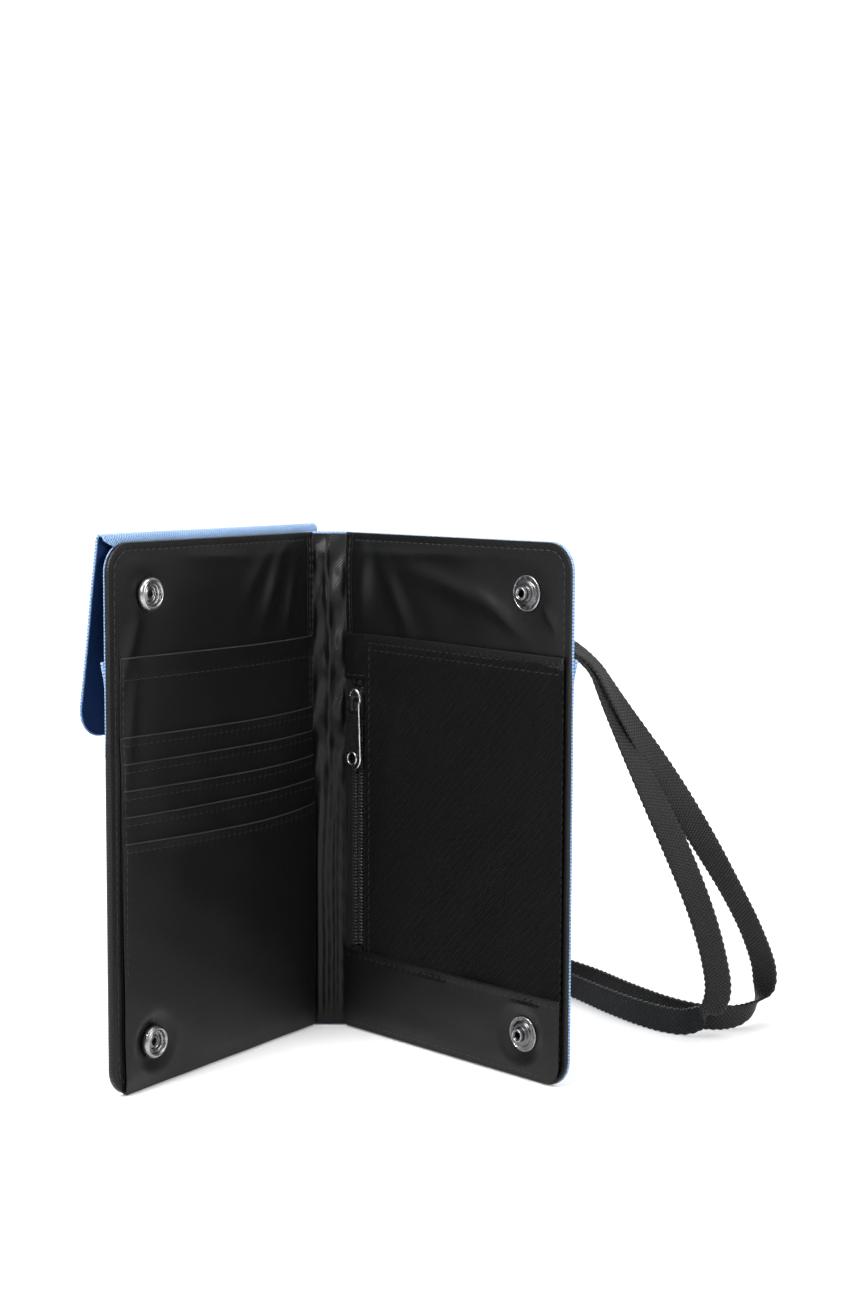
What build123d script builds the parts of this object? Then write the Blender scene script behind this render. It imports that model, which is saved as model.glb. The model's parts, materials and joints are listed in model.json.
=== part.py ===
from build123d import *
from math import atan2, cos, degrees, pi, radians, sin, tan
import os

# A soft travel wallet for a passport and cards. Two stiffened cloth covers fold about a narrow
# spine, and stand open on their lower edges. All lengths are in millimetres, angles in degrees.
# The origin is the foot of the fold between the back cover and the spine. The back cover lies
# in the XZ plane with its lining towards -Y, and +Z is up along the fold.

# Covers and spine
COVER_WIDTH = 113.0
COVER_HEIGHT = 190.0
COVER_CORNER = 10.0
SPINE_WIDTH = 13.2
SPINE_ANGLE = 134.5  # inside angle between the back cover and the spine
FRONT_ANGLE = 123.7  # inside angle between the spine and the front cover
CANVAS = 0.7  # thickness of the outer cloth
BOARD = 1.0  # thickness of the stiffening board
LINING = 0.3  # thickness of the lining
TURNED_EDGE = 4.0  # width of canvas folded in round the board
LINING_INSET = 0.6  # the lining stops this far inside the canvas edge
SEAM_GAP = 0.15  # each panel stops this far from its fold line

# Press studs
SNAP_FROM_EDGE = 20.0  # from the outer edge of the cover to the middle of a snap
SNAP_FROM_TOP = 18.0
SNAP_FROM_FOOT = 16.0
SOCKET_RADIUS = 5.85
SOCKET_HEIGHT = 2.8
STUD_RADIUS = 6.25
POST_RADIUS = 2.4
POST_HEIGHT = 3.7
POST_PLAY = 0.7  # room round the post inside the socket
SHANK_RADIUS = 1.9  # rivet shank through the cover
SHANK_PLAY = 0.05
CAP_RADIUS = 6.0
CAP_HEIGHT = 1.0
SNAP_CLEARANCE = 0.3  # between a snap and the cloth layers round it
SOCKET_FLOOR = 0.6  # thickness of the socket's base
SOCKET_BEVEL = 0.6
SOCKET_LIP = 1.1  # the cavity widens this much towards its mouth
STUD_FLOOR = 0.5
STUD_FLANGE = 0.8
STUD_BEVEL = 0.35
STUD_STEP = (4.3, 4.1, 1.5)  # foot radius, head radius and depth of the step round the post
POST_BORE = 1.3
POST_BEVEL = (0.3, 0.4)
EYELET_HOLE = 1.15
EYELET_LIP = 0.35  # thickness of the rivet's rolled rim
CAP_BEVEL = (1.5, 0.3)

# Pockets on the front cover's lining
POCKET_SIDE = 1.0  # pockets start this far from the spine fold
POCKET_EDGE = 5.0  # and stop this far from the cover's outer edge
PASSPORT_POCKET_DROP = 39.0  # from the cover's top edge to the pocket's mouth
POCKET_LIFT = 0.15  # between the lining and the pocket's back
POCKET_CLOTH = 0.2
SLOT_PITCH_DEEP = 0.22  # one card slot lies this much above the one behind it
SLOT_COUNT = 5
SLOT_DROP = 66.0  # from the cover's top edge to the first slot's mouth
SLOT_STEP = 9.1
SLOT_DEPTH = 46.0

# Zip pocket on the back cover's lining
ZIP_ACROSS = 8.0  # middle of the zip, from the spine fold
ZIP_FOOT = 31.3
ZIP_DROP = 55.2  # from the cover's top edge to the zip's upper end
TAPE_WIDTH = 6.2
TAPE_CLOTH = 0.3
TAPE_LIFT = 0.9  # the slider's lower plate runs under the tapes
COIL_WIDTH = 2.4
COIL_HEIGHT = 1.2
CHAIN_GAP = 1.2  # the slider's neck runs between the two coils
ZIP_STOP = 1.7
COIL_END_GAP = 1.0  # between the coils and the upper stops
COIL_ROUNDING = 0.54
PANEL_LIFT = 0.05  # between the zip tape and the panel
PANEL_CLEARANCE = 0.4  # between the slider and the panel's edge
PANEL_OUTER_MARGIN = 2.0
PANEL_DROP = 37.8  # from the cover's top edge to the binding
PANEL_CLOTH = 0.45
BINDING_WIDTH = 4.0
BINDING_CLOTH = 0.7
FOOT_STRIP_TOP = 31.2
FOOT_STRIP_CLOTH = 0.2
PANEL_TUCK = 4.0  # the panel runs on under the foot strip
TAPE_TUCK = 2.5  # and the zip tape under the panel
TAPE_PAST_FOOT = 3.0  # the tapes run on past the stops
TAPE_PAST_TOP = 1.2
GARAGE_GAP = 0.2

# Slider and pull tab
SLIDER_LENGTH = 11.0
SLIDER_SHOULDER = 0.4  # corner radii, as shares of the slider's width
SLIDER_HEEL = 0.12
SLIDER_PLATE = 0.65
SLIDER_TOP_PLATE = 0.8
SLIDER_WALL = 0.55
SLIDER_PLAY = 0.15
SLIDER_SIDE_PLAY = 0.25  # between the coils and the slider's walls
SLIDER_PARKING = 1.3  # between the closed slider and the upper stops
SLIDER_MOUTH = 2.9  # the walls stop this far from the slider's upper end
WALL_FOOT_INSET = 0.5
NECK_WIDTH = 0.8
NECK_INSET = 1.0
NECK_LENGTH = 2.2
BRIDGE_WIDTH = 2.0
BRIDGE_LENGTH = 5.6
BRIDGE_BAR = 0.9
BRIDGE_HEIGHT = 2.65
PULL_LENGTH = 25.6
PULL_TOP_WIDTH = 6.4
PULL_FOOT_WIDTH = 8.2
PULL_THICKNESS = 1.1
PULL_BAR = 0.55  # from the pivot to the tab's upper edge
PULL_PLAY = 0.2
PULL_HOLE_RADIUS = 2.1

# Pockets on the outside
FRONT_POCKET_DEPTH = 5.0
BACK_POCKET_DEPTH = 4.4
OUTER_POCKET_DROP = 40.0  # from the cover's top edge to the pocket's mouth
OUTER_POCKET_CLOTH = 0.6
OUTER_POCKET_MARGIN = 2.0
OUTER_POCKET_ALLOWANCE = 4.0  # sewn-down rim
OUTER_POCKET_RAMP = 8.0
HEM_WIDTH = 5.0
HEM_CLOTH = 0.4

# Flap over the front pocket
FLAP_LENGTH = 69.0
FLAP_OVERHANG = 5.0  # past the spine fold
FLAP_CLEARANCE = 0.44  # between the hanging flap and the pocket's hem
FLAP_CORNER = 12.0
FLAP_FACING = 0.3
FLAP_RISE = 1.2  # the flap's fold stands this much above the cover
FLAP_STAND_OFF = 0.5
MOUNT_STRIP_WIDTH = 13.0
MOUNT_STRIP_CLOTH = 0.35
MOUNT_STRIP_INSET = 1.0
MOUNT_STRIP_GAP = 0.2  # below the flap's fold
PATCH_WIDTH = 36.0
PATCH_HEIGHT = 14.0
PATCH_CLOTH = 1.0
PATCH_CORNER = 2.0
PATCH_FROM_FLAP_FOOT = 4.0

# Neck strap: a flat woven webbing. Its free length is one loop with both ends sewn under the
# anchor patch on the back cover. The runs are round tubes as wide as the webbing. Their points
# are drawn for a cover of ROUTE_WIDTH and an anchor at ROUTE_HEIGHT, and stretch with both.
STRAP_WIDTH = 10.0
STRAP_EXIT_INSET = 19.0  # from the cover's outer edge to the end of the anchor
STRAP_ABOVE_POCKET = 6.5
ROUTE_WIDTH = 113.0
ROUTE_HEIGHT = 156.5
STRAP_STAND_OFF = 5.4  # from the canvas to the middle of the webbing
STRAP_GAP = 1.5  # between the ends of the runs and the pieces that they go into
ANCHOR_LENGTH = 18.0
ANCHOR_THICKNESS = 3.0
STRAP_FLOOR = STRAP_WIDTH / 2
ARC_SHARE = 0.45
HANK_LIFT = 1.0
HANK_RIGHT = 12.0
FRONT_RUN = [
    (111.5, 9.6, 153), (113, 20, 133), (115, 44, 97), (115.5, 66, 62), (115, 79, 37),
    (112, 88.5, 14), (102, 84, STRAP_FLOOR), (88, 80, STRAP_FLOOR), (62, 84.5, STRAP_FLOOR),
    (34, 93, STRAP_FLOOR),
]
FRONT_RUN_END = (HANK_RIGHT + STRAP_GAP, 95, STRAP_FLOOR)
REAR_RUN = [
    (111.5, 10.4, 153.4), (114, 24, 134), (114.5, 58, 96), (115, 88, 60), (114.5, 105, 38),
    (112, 118, 17.5), (109, 110.8, STRAP_FLOOR), (104.5, 96, STRAP_FLOOR),
    (88, 92.5, STRAP_FLOOR), (60, 98.5, STRAP_FLOOR), (34, 107, STRAP_FLOOR),
]
REAR_RUN_END = (HANK_RIGHT + STRAP_GAP, 107.5, STRAP_FLOOR)
HANK_OUTLINE = [
    (-136, 66), (-136, 118), (-95, 118), (-64, 101), (-40, 101), (-14, 113), (HANK_RIGHT, 113),
    (HANK_RIGHT, 64), (-12, 64), (-40, 83), (-64, 83), (-95, 66),
]
HANK_ROUNDING = 8.0
TIE_ACROSS = -52.0
TIE_WIDTH = 8.0
HANK_WAIST = (83.0, 101.0)

# Sizes that follow from the ones above
cover_thickness = CANVAS + BOARD + LINING
passport_pocket_top = COVER_HEIGHT - PASSPORT_POCKET_DROP
first_slot_top = COVER_HEIGHT - SLOT_DROP
zip_top = COVER_HEIGHT - ZIP_DROP
panel_top = COVER_HEIGHT - PANEL_DROP
outer_pocket_top = COVER_HEIGHT - OUTER_POCKET_DROP
strap_exit = COVER_WIDTH - STRAP_EXIT_INSET
strap_height = outer_pocket_top + STRAP_ABOVE_POCKET
slider_width = 2 * (COIL_WIDTH + SLIDER_SIDE_PLAY + SLIDER_WALL) + CHAIN_GAP
panel_edge_across = ZIP_ACROSS + slider_width / 2 + PANEL_CLEARANCE
snap_across = COVER_WIDTH - SNAP_FROM_EDGE
snap_heights = {"upper": COVER_HEIGHT - SNAP_FROM_TOP, "lower": SNAP_FROM_FOOT}
pocket_across = (POCKET_SIDE, COVER_WIDTH - POCKET_EDGE)
tape_top = TAPE_LIFT + TAPE_CLOTH
coil_top = tape_top + COIL_HEIGHT
panel_depth = tape_top + PANEL_LIFT

UP = Vector(0, 0, 1)
spine_direction = Vector(cos(radians(-SPINE_ANGLE)), sin(radians(-SPINE_ANGLE)), 0)
front_heading = radians(180 - SPINE_ANGLE - FRONT_ANGLE)
front_direction = Vector(cos(front_heading), sin(front_heading), 0)
front_seam = spine_direction * SPINE_WIDTH

# Each panel's plane is its lining surface: x runs out from the fold, y up. Depth is measured
# from it, positive towards the inside of the wallet.
PLANES = {
    "back": Plane(origin=(0, 0, 0), x_dir=(1, 0, 0), z_dir=(0, -1, 0)),
    "spine": Plane(origin=(0, 0, 0), x_dir=spine_direction, z_dir=spine_direction.cross(UP)),
    "front": Plane(origin=front_seam, x_dir=front_direction, z_dir=front_direction.cross(UP)),
}
INWARD = {"back": 1, "spine": -1, "front": -1}


def layer(side, depth):
    """The panel's plane, moved by depth towards the inside of the wallet."""
    return PLANES[side].offset(INWARD[side] * depth)


def inside(side):
    """The direction from a panel towards the inside of the wallet."""
    return PLANES[side].z_dir * INWARD[side]


def point(side, across, up, depth):
    """A place in space from a panel's own across, up and depth."""
    return PLANES[side].from_local_coords(Vector(across, up, INWARD[side] * depth))


def outline(across, up, corner=0.0):
    """A rectangle whose two outer corners are rounded."""
    with Locations(((across[0] + across[1]) / 2, (up[0] + up[1]) / 2)):
        Rectangle(across[1] - across[0], up[1] - up[0])
    if corner:
        fillet(vertices().group_by(Axis.X)[-1], corner)


def snap_holes(radius, names=("upper", "lower")):
    """Round holes at the snaps."""
    with Locations(*[(snap_across, snap_heights[name]) for name in names]):
        Circle(radius, mode=Mode.SUBTRACT)


def cloth(side, across, up, depth, thickness, corner=0.0, hole=0.0, names=("upper", "lower")):
    """A flat piece of cloth. Depth is that of its outer side."""
    with BuildPart() as piece:
        with BuildSketch(layer(side, depth)):
            outline(across, up, corner)
            if hole:
                snap_holes(hole, names)
        extrude(amount=thickness, dir=inside(side))
    return piece


def save(piece, name):
    """Labels a finished piece and writes it."""
    piece.part.label = name
    export_step(piece.part, f"parts/{name}.step")


os.makedirs("parts", exist_ok=True)


# Covers: canvas folded in round a board, with the lining sewn on its inner side.
def cover_canvas(side):
    """The outer cloth, with the bed that the board lies in."""
    with BuildPart() as canvas:
        with BuildSketch(layer(side, -cover_thickness)):
            outline((SEAM_GAP, COVER_WIDTH), (0, COVER_HEIGHT), COVER_CORNER)
            snap_holes(SHANK_RADIUS + SHANK_PLAY)
        extrude(amount=CANVAS + BOARD, dir=inside(side))
        with BuildSketch(layer(side, -LINING)):
            outline(
                (SEAM_GAP + TURNED_EDGE, COVER_WIDTH - TURNED_EDGE),
                (TURNED_EDGE, COVER_HEIGHT - TURNED_EDGE),
                COVER_CORNER - TURNED_EDGE,
            )
        extrude(amount=BOARD, dir=-inside(side), mode=Mode.SUBTRACT)
    return canvas


def cover_board(side):
    """The stiffening board, with a little room in its bed."""
    edge = TURNED_EDGE + SHANK_PLAY
    return cloth(
        side,
        (SEAM_GAP + edge, COVER_WIDTH - edge),
        (edge, COVER_HEIGHT - edge),
        -LINING - BOARD,
        BOARD,
        COVER_CORNER - edge,
        SHANK_RADIUS + SHANK_PLAY,
    )


def cover_lining(side):
    """The lining, sewn just inside the canvas edge."""
    return cloth(
        side,
        (SEAM_GAP, COVER_WIDTH - LINING_INSET),
        (LINING_INSET, COVER_HEIGHT - LINING_INSET),
        -LINING,
        LINING,
        COVER_CORNER - LINING_INSET,
        SHANK_RADIUS + SHANK_PLAY,
    )


for side in ("front", "back"):
    save(cover_canvas(side), f"{side}_cover_canvas")
    save(cover_board(side), f"{side}_cover_board")
    save(cover_lining(side), f"{side}_cover_lining")

# Spine: canvas and lining with no board, so that it folds along both its edges.
spine_across = (SEAM_GAP, SPINE_WIDTH - SEAM_GAP)
spine_canvas_up = (0, COVER_HEIGHT)
spine_lining_up = (LINING_INSET, COVER_HEIGHT - LINING_INSET)
save(cloth("spine", spine_across, spine_canvas_up, -LINING - CANVAS, CANVAS), "spine_canvas")
save(cloth("spine", spine_across, spine_lining_up, -LINING, LINING), "spine_lining")

# Passport pocket and card slots: flat panels, one in front of the other, open along the top.
socket_hole = SOCKET_RADIUS + SNAP_CLEARANCE
slot_floor = SNAP_FROM_FOOT + socket_hole  # the shallow slots end above the lower socket
passport_pocket = cloth(
    "front",
    pocket_across,
    (POCKET_SIDE, passport_pocket_top),
    POCKET_LIFT,
    POCKET_CLOTH,
    hole=socket_hole,
    names=("lower",),
)
save(passport_pocket, "passport_pocket")
for slot in range(SLOT_COUNT):
    slot_top = first_slot_top - slot * SLOT_STEP
    front_most = slot == SLOT_COUNT - 1
    slot_foot = POCKET_SIDE if front_most else max(slot_top - SLOT_DEPTH, slot_floor)
    card_slot = cloth(
        "front",
        pocket_across,
        (slot_foot, slot_top),
        POCKET_LIFT + (slot + 1) * SLOT_PITCH_DEEP,
        POCKET_CLOTH,
        hole=socket_hole if front_most else 0.0,
        names=("lower",),
    )
    save(card_slot, f"card_slot_{slot + 1}")


# Snaps: sockets on the front cover, studs on the back cover, each held by a rivet.
def turned(side, up, profile):
    """A turned piece on a snap's axis, from (radius, depth) points."""
    centre = point(side, snap_across, up, 0)
    with BuildPart() as piece:
        with BuildSketch(Plane(origin=centre, x_dir=UP, z_dir=UP.cross(inside(side)))):
            with BuildLine():
                Polyline(*profile, close=True)
            make_face()
        revolve(axis=Axis(centre, inside(side)))
    return piece


cavity_radius = POST_RADIUS + POST_PLAY
bore = SHANK_RADIUS + SHANK_PLAY
socket_profile = [
    (bore, 0), (SOCKET_RADIUS, 0), (SOCKET_RADIUS, SOCKET_HEIGHT - SOCKET_BEVEL),
    (SOCKET_RADIUS - SOCKET_BEVEL, SOCKET_HEIGHT), (cavity_radius + SOCKET_LIP, SOCKET_HEIGHT),
    (cavity_radius, SOCKET_HEIGHT - SOCKET_BEVEL), (cavity_radius, SOCKET_FLOOR),
    (bore, SOCKET_FLOOR),
]
step_foot, step_head, step_depth = STUD_STEP
stud_profile = [
    (bore, 0), (STUD_RADIUS, 0), (STUD_RADIUS, STUD_FLANGE - POST_BEVEL[0]),
    (STUD_RADIUS - STUD_BEVEL, STUD_FLANGE), (step_foot, STUD_FLANGE), (step_head, step_depth),
    (POST_RADIUS, step_depth), (POST_RADIUS, POST_HEIGHT - POST_BEVEL[1]),
    (POST_RADIUS - POST_BEVEL[0], POST_HEIGHT), (POST_BORE, POST_HEIGHT),
    (POST_BORE, STUD_FLOOR), (bore, STUD_FLOOR),
]
cap_profile = [
    (0, -cover_thickness - CAP_HEIGHT),
    (CAP_RADIUS - CAP_BEVEL[0], -cover_thickness - CAP_HEIGHT),
    (CAP_RADIUS, -cover_thickness - CAP_BEVEL[1]), (CAP_RADIUS, -cover_thickness),
    (SHANK_RADIUS, -cover_thickness),
]
eyelet_radius = cavity_radius - 4 * SHANK_PLAY
eyelet_top = SOCKET_FLOOR + EYELET_LIP
socket_rivet_profile = cap_profile + [
    (SHANK_RADIUS, SOCKET_FLOOR), (eyelet_radius, SOCKET_FLOOR), (eyelet_radius, eyelet_top),
    (EYELET_HOLE, eyelet_top), (EYELET_HOLE, -cover_thickness), (0, -cover_thickness),
]
stud_rivet_top = STUD_FLOOR - SHANK_PLAY
stud_rivet_profile = cap_profile + [
    (SHANK_RADIUS, stud_rivet_top), (EYELET_HOLE, stud_rivet_top),
    (EYELET_HOLE, -cover_thickness), (0, -cover_thickness),
]
for name, up in snap_heights.items():
    save(turned("front", up, socket_profile), f"snap_socket_{name}")
    save(turned("front", up, socket_rivet_profile), f"socket_rivet_{name}")
    save(turned("back", up, stud_profile), f"snap_stud_{name}")
    save(turned("back", up, stud_rivet_profile), f"stud_rivet_{name}")

# Zip: two tapes with a coil each, stops at both ends.
chain_half = CHAIN_GAP / 2
tape_up = (ZIP_FOOT - TAPE_PAST_FOOT, zip_top + TAPE_PAST_TOP)
tape_panel_edge = panel_edge_across + TAPE_TUCK
spine_tape_across = (ZIP_ACROSS - chain_half - TAPE_WIDTH, ZIP_ACROSS - chain_half)
panel_tape_across = (ZIP_ACROSS + chain_half, tape_panel_edge)
save(cloth("back", spine_tape_across, tape_up, TAPE_LIFT, TAPE_CLOTH), "zip_tape_spine_side")
save(cloth("back", panel_tape_across, tape_up, TAPE_LIFT, TAPE_CLOTH), "zip_tape_panel_side")

coil_up = (ZIP_FOOT + ZIP_STOP, zip_top - ZIP_STOP - COIL_END_GAP)
for name, direction in (("spine_side", -1), ("panel_side", 1)):
    with BuildPart() as coil:
        with BuildSketch(Plane.XY.offset(coil_up[0])):
            with Locations((ZIP_ACROSS + direction * (chain_half + COIL_WIDTH / 2), -tape_top)):
                Rectangle(COIL_WIDTH, COIL_HEIGHT, align=(Align.CENTER, Align.MAX))
            fillet(vertices().group_by(Axis.Y)[0], COIL_ROUNDING)
        extrude(amount=coil_up[1] - coil_up[0])
    save(coil, f"zip_coil_{name}")

chain_across = (ZIP_ACROSS - chain_half - COIL_WIDTH, ZIP_ACROSS + chain_half + COIL_WIDTH)
bottom_stop = cloth("back", chain_across, (ZIP_FOOT, ZIP_FOOT + ZIP_STOP), tape_top, COIL_HEIGHT)
save(bottom_stop, "zip_bottom_stop")
top_stop_up = (zip_top - ZIP_STOP, zip_top)
for name, start in (("spine_side", chain_across[0]), ("panel_side", ZIP_ACROSS + chain_half)):
    top_stop = cloth("back", (start, start + COIL_WIDTH), top_stop_up, tape_top, COIL_HEIGHT)
    save(top_stop, f"zip_top_stop_{name}")

# Zip pocket: a coarse twill panel, bound along its top, with lining strips at its foot and
# above the zip.
stud_hole = STUD_RADIUS + SNAP_CLEARANCE
panel_across = (panel_edge_across, COVER_WIDTH - PANEL_OUTER_MARGIN)
zip_pocket_panel = cloth(
    "back",
    panel_across,
    (FOOT_STRIP_TOP - PANEL_TUCK, panel_top - BINDING_WIDTH),
    panel_depth,
    PANEL_CLOTH,
)
save(zip_pocket_panel, "zip_pocket_panel")
zip_pocket_binding = cloth(
    "back",
    panel_across,
    (panel_top - BINDING_WIDTH, panel_top),
    panel_depth,
    BINDING_CLOTH,
)
save(zip_pocket_binding, "zip_pocket_binding")
foot_strip = cloth(
    "back",
    (POCKET_SIDE, COVER_WIDTH - PANEL_OUTER_MARGIN),
    (POCKET_SIDE, FOOT_STRIP_TOP),
    panel_depth + PANEL_CLOTH,
    FOOT_STRIP_CLOTH,
    hole=stud_hole,
    names=("lower",),
)
save(foot_strip, "zip_pocket_foot_strip")
zip_garage = cloth(
    "back",
    (POCKET_SIDE, panel_edge_across - GARAGE_GAP),
    (zip_top + GARAGE_GAP, panel_top),
    panel_depth,
    LINING,
)
save(zip_garage, "zip_garage")

# Slider: two plates joined by a neck between the coils, side walls over the chain, and a
# bridge that holds the pull tab.
slider_top = zip_top - ZIP_STOP - SLIDER_PLAY - SLIDER_PARKING
slider_foot = slider_top - SLIDER_LENGTH
slider_middle = (slider_top + slider_foot) / 2
slider_inner = coil_top + SLIDER_PLAY
slider_outer = slider_inner + SLIDER_TOP_PLATE
lower_plate_depth = TAPE_LIFT - SLIDER_PLAY - SLIDER_PLATE
slider_shoulder = slider_width * SLIDER_SHOULDER
slider_heel = slider_width * SLIDER_HEEL
with BuildPart() as zip_slider:
    with BuildSketch(layer("back", slider_inner)):
        with Locations((ZIP_ACROSS, slider_middle)):
            Rectangle(slider_width, SLIDER_LENGTH)
        fillet(vertices().group_by(Axis.Y)[-1], slider_shoulder)
        fillet(vertices().group_by(Axis.Y)[0], slider_heel)
    extrude(amount=SLIDER_TOP_PLATE, dir=inside("back"))
    with BuildSketch(layer("back", lower_plate_depth)):
        with Locations((ZIP_ACROSS, slider_middle)):
            Rectangle(slider_width, SLIDER_LENGTH)
        fillet(vertices().group_by(Axis.Y)[-1], slider_shoulder)
    extrude(amount=SLIDER_PLATE, dir=inside("back"))
    with BuildSketch(layer("back", lower_plate_depth)):
        with Locations((ZIP_ACROSS, slider_top - NECK_INSET - NECK_LENGTH / 2)):
            Rectangle(NECK_WIDTH, NECK_LENGTH)
    extrude(amount=slider_outer - lower_plate_depth, dir=inside("back"))
    with BuildSketch(layer("back", tape_top + SLIDER_PLAY)):
        wall_across = (slider_width - SLIDER_WALL) / 2
        wall_length = SLIDER_LENGTH - SLIDER_MOUTH - WALL_FOOT_INSET
        wall_middle = slider_foot + WALL_FOOT_INSET + wall_length / 2
        with Locations(*[(ZIP_ACROSS + s * wall_across, wall_middle) for s in (-1, 1)]):
            Rectangle(SLIDER_WALL, wall_length)
    extrude(amount=slider_inner - tape_top, dir=inside("back"))
    with BuildSketch(layer("back", slider_outer)):
        with Locations((ZIP_ACROSS, slider_middle)):
            Rectangle(BRIDGE_WIDTH, BRIDGE_LENGTH)
    extrude(amount=BRIDGE_HEIGHT, dir=inside("back"))
    with BuildSketch(layer("back", slider_outer)):
        with Locations((ZIP_ACROSS, slider_middle)):
            Rectangle(BRIDGE_WIDTH, BRIDGE_LENGTH - 2 * BRIDGE_BAR)
    extrude(amount=BRIDGE_HEIGHT - BRIDGE_BAR, dir=inside("back"), mode=Mode.SUBTRACT)
save(zip_slider, "zip_slider")

# Pull tab: its upper bar lies under the bridge, and the bridge stands through its upper hole.
pull_depth = slider_outer + (BRIDGE_HEIGHT - BRIDGE_BAR - PULL_THICKNESS) / 2
pull_top = slider_middle + PULL_BAR
pull_foot = pull_top - PULL_LENGTH
eye_half = BRIDGE_WIDTH / 2 + PULL_PLAY * 2
eye_top = slider_middle - PULL_BAR
bridge_reach = ((BRIDGE_LENGTH / 2) ** 2 + ((BRIDGE_HEIGHT + BRIDGE_BAR) / 2) ** 2) ** 0.5
eye_foot = slider_middle - bridge_reach - PULL_PLAY
with BuildPart() as zip_pull:
    with BuildSketch(layer("back", pull_depth)):
        with BuildLine():
            foot_middle = pull_foot + PULL_FOOT_WIDTH / 2
            Polyline(
                (ZIP_ACROSS - PULL_FOOT_WIDTH / 2, foot_middle),
                (ZIP_ACROSS - PULL_TOP_WIDTH / 2, pull_top),
                (ZIP_ACROSS + PULL_TOP_WIDTH / 2, pull_top),
                (ZIP_ACROSS + PULL_FOOT_WIDTH / 2, foot_middle),
            )
            ThreePointArc(
                (ZIP_ACROSS + PULL_FOOT_WIDTH / 2, foot_middle),
                (ZIP_ACROSS, pull_foot),
                (ZIP_ACROSS - PULL_FOOT_WIDTH / 2, foot_middle),
            )
        make_face()
        with Locations((ZIP_ACROSS, (eye_top + eye_foot) / 2)):
            Rectangle(2 * eye_half, eye_top - eye_foot, mode=Mode.SUBTRACT)
        with Locations((ZIP_ACROSS, foot_middle)):
            Circle(PULL_HOLE_RADIUS, mode=Mode.SUBTRACT)
    extrude(amount=PULL_THICKNESS, dir=inside("back"))
save(zip_pull, "zip_pull")


# Outer pockets: shallow cloth pans sewn to the canvas on three sides, open along the top.
def outer_pocket(side, depth):
    """A pan with a sewn-down rim, sloping sides and a flat face."""
    rim = (OUTER_POCKET_MARGIN, COVER_WIDTH - OUTER_POCKET_MARGIN)
    past_top = outer_pocket_top + OUTER_POCKET_ALLOWANCE + OUTER_POCKET_RAMP + 1.0
    ramp_foot = OUTER_POCKET_ALLOWANCE
    ramp_top = OUTER_POCKET_ALLOWANCE + OUTER_POCKET_RAMP
    corner = COVER_CORNER - OUTER_POCKET_MARGIN

    def inset(by):
        outline((rim[0] + by, rim[1] - by), (OUTER_POCKET_MARGIN + by, past_top), corner / 2)

    with BuildPart() as pan:
        with BuildSketch(layer(side, -cover_thickness)):
            outline(rim, (OUTER_POCKET_MARGIN, past_top), corner)
        extrude(amount=OUTER_POCKET_CLOTH, dir=-inside(side))
        with BuildSketch(layer(side, -cover_thickness - OUTER_POCKET_CLOTH)):
            inset(ramp_foot)
        with BuildSketch(layer(side, -cover_thickness - OUTER_POCKET_CLOTH - depth)):
            inset(ramp_top)
        loft()
        with BuildSketch(layer(side, -cover_thickness)):
            inset(ramp_foot)
        with BuildSketch(layer(side, -cover_thickness - depth)):
            inset(ramp_top)
        loft(mode=Mode.SUBTRACT)
        with BuildSketch(layer(side, 0)):
            outline((0, COVER_WIDTH), (outer_pocket_top, past_top + 1.0))
        extrude(amount=4 * cover_thickness + depth, dir=-inside(side), mode=Mode.SUBTRACT)
    return pan


def pocket_hem(side, depth):
    """The doubled band along the pocket's mouth."""
    face = OUTER_POCKET_MARGIN + OUTER_POCKET_ALLOWANCE + OUTER_POCKET_RAMP
    return cloth(
        side,
        (face, COVER_WIDTH - face),
        (outer_pocket_top - HEM_WIDTH, outer_pocket_top),
        -cover_thickness - depth - OUTER_POCKET_CLOTH - HEM_CLOTH,
        HEM_CLOTH,
    )


for side, depth in (("front", FRONT_POCKET_DEPTH), ("back", BACK_POCKET_DEPTH)):
    save(outer_pocket(side, depth), f"{side}_pocket")
    save(pocket_hem(side, depth), f"{side}_pocket_hem")

# Flap: hangs over the front pocket from a fold above the cover's top edge.
flap_across = (-FLAP_OVERHANG, COVER_WIDTH)
flap_fold_up = COVER_HEIGHT + FLAP_RISE
flap_fold_depth = cover_thickness + FLAP_STAND_OFF
flap_fold = point("front", 0, flap_fold_up, -flap_fold_depth)
hem_face = cover_thickness + FRONT_POCKET_DEPTH + OUTER_POCKET_CLOTH + HEM_CLOTH
flap_reach = hem_face + FLAP_CLEARANCE - flap_fold_depth
flap_tilt = degrees(atan2(flap_reach, flap_fold_up - outer_pocket_top))
outward = -inside("front")
flap_plane = Plane(
    origin=flap_fold,
    x_dir=front_direction,
    z_dir=outward * cos(radians(flap_tilt)) + UP * sin(radians(flap_tilt)),
)


def flap_cloth(depth, thickness):
    """One layer of the flap, from depth outwards."""
    with BuildPart() as piece:
        with BuildSketch(flap_plane.offset(depth)):
            with Locations(((flap_across[0] + flap_across[1]) / 2, -SEAM_GAP)):
                Rectangle(
                    flap_across[1] - flap_across[0],
                    FLAP_LENGTH - SEAM_GAP,
                    align=(Align.CENTER, Align.MAX),
                )
            fillet(vertices().group_by(Axis.Y)[0], FLAP_CORNER)
        extrude(amount=thickness)
    return piece


save(flap_cloth(0, FLAP_FACING), "flap_facing")
save(flap_cloth(FLAP_FACING, CANVAS), "flap_canvas")
mount_strip = cloth(
    "front",
    (-FLAP_OVERHANG + MOUNT_STRIP_INSET, COVER_WIDTH - COVER_CORNER),
    (flap_fold_up - MOUNT_STRIP_WIDTH, flap_fold_up - MOUNT_STRIP_GAP),
    -cover_thickness - MOUNT_STRIP_CLOTH,
    MOUNT_STRIP_CLOTH,
)
save(mount_strip, "flap_mount_strip")

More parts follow.
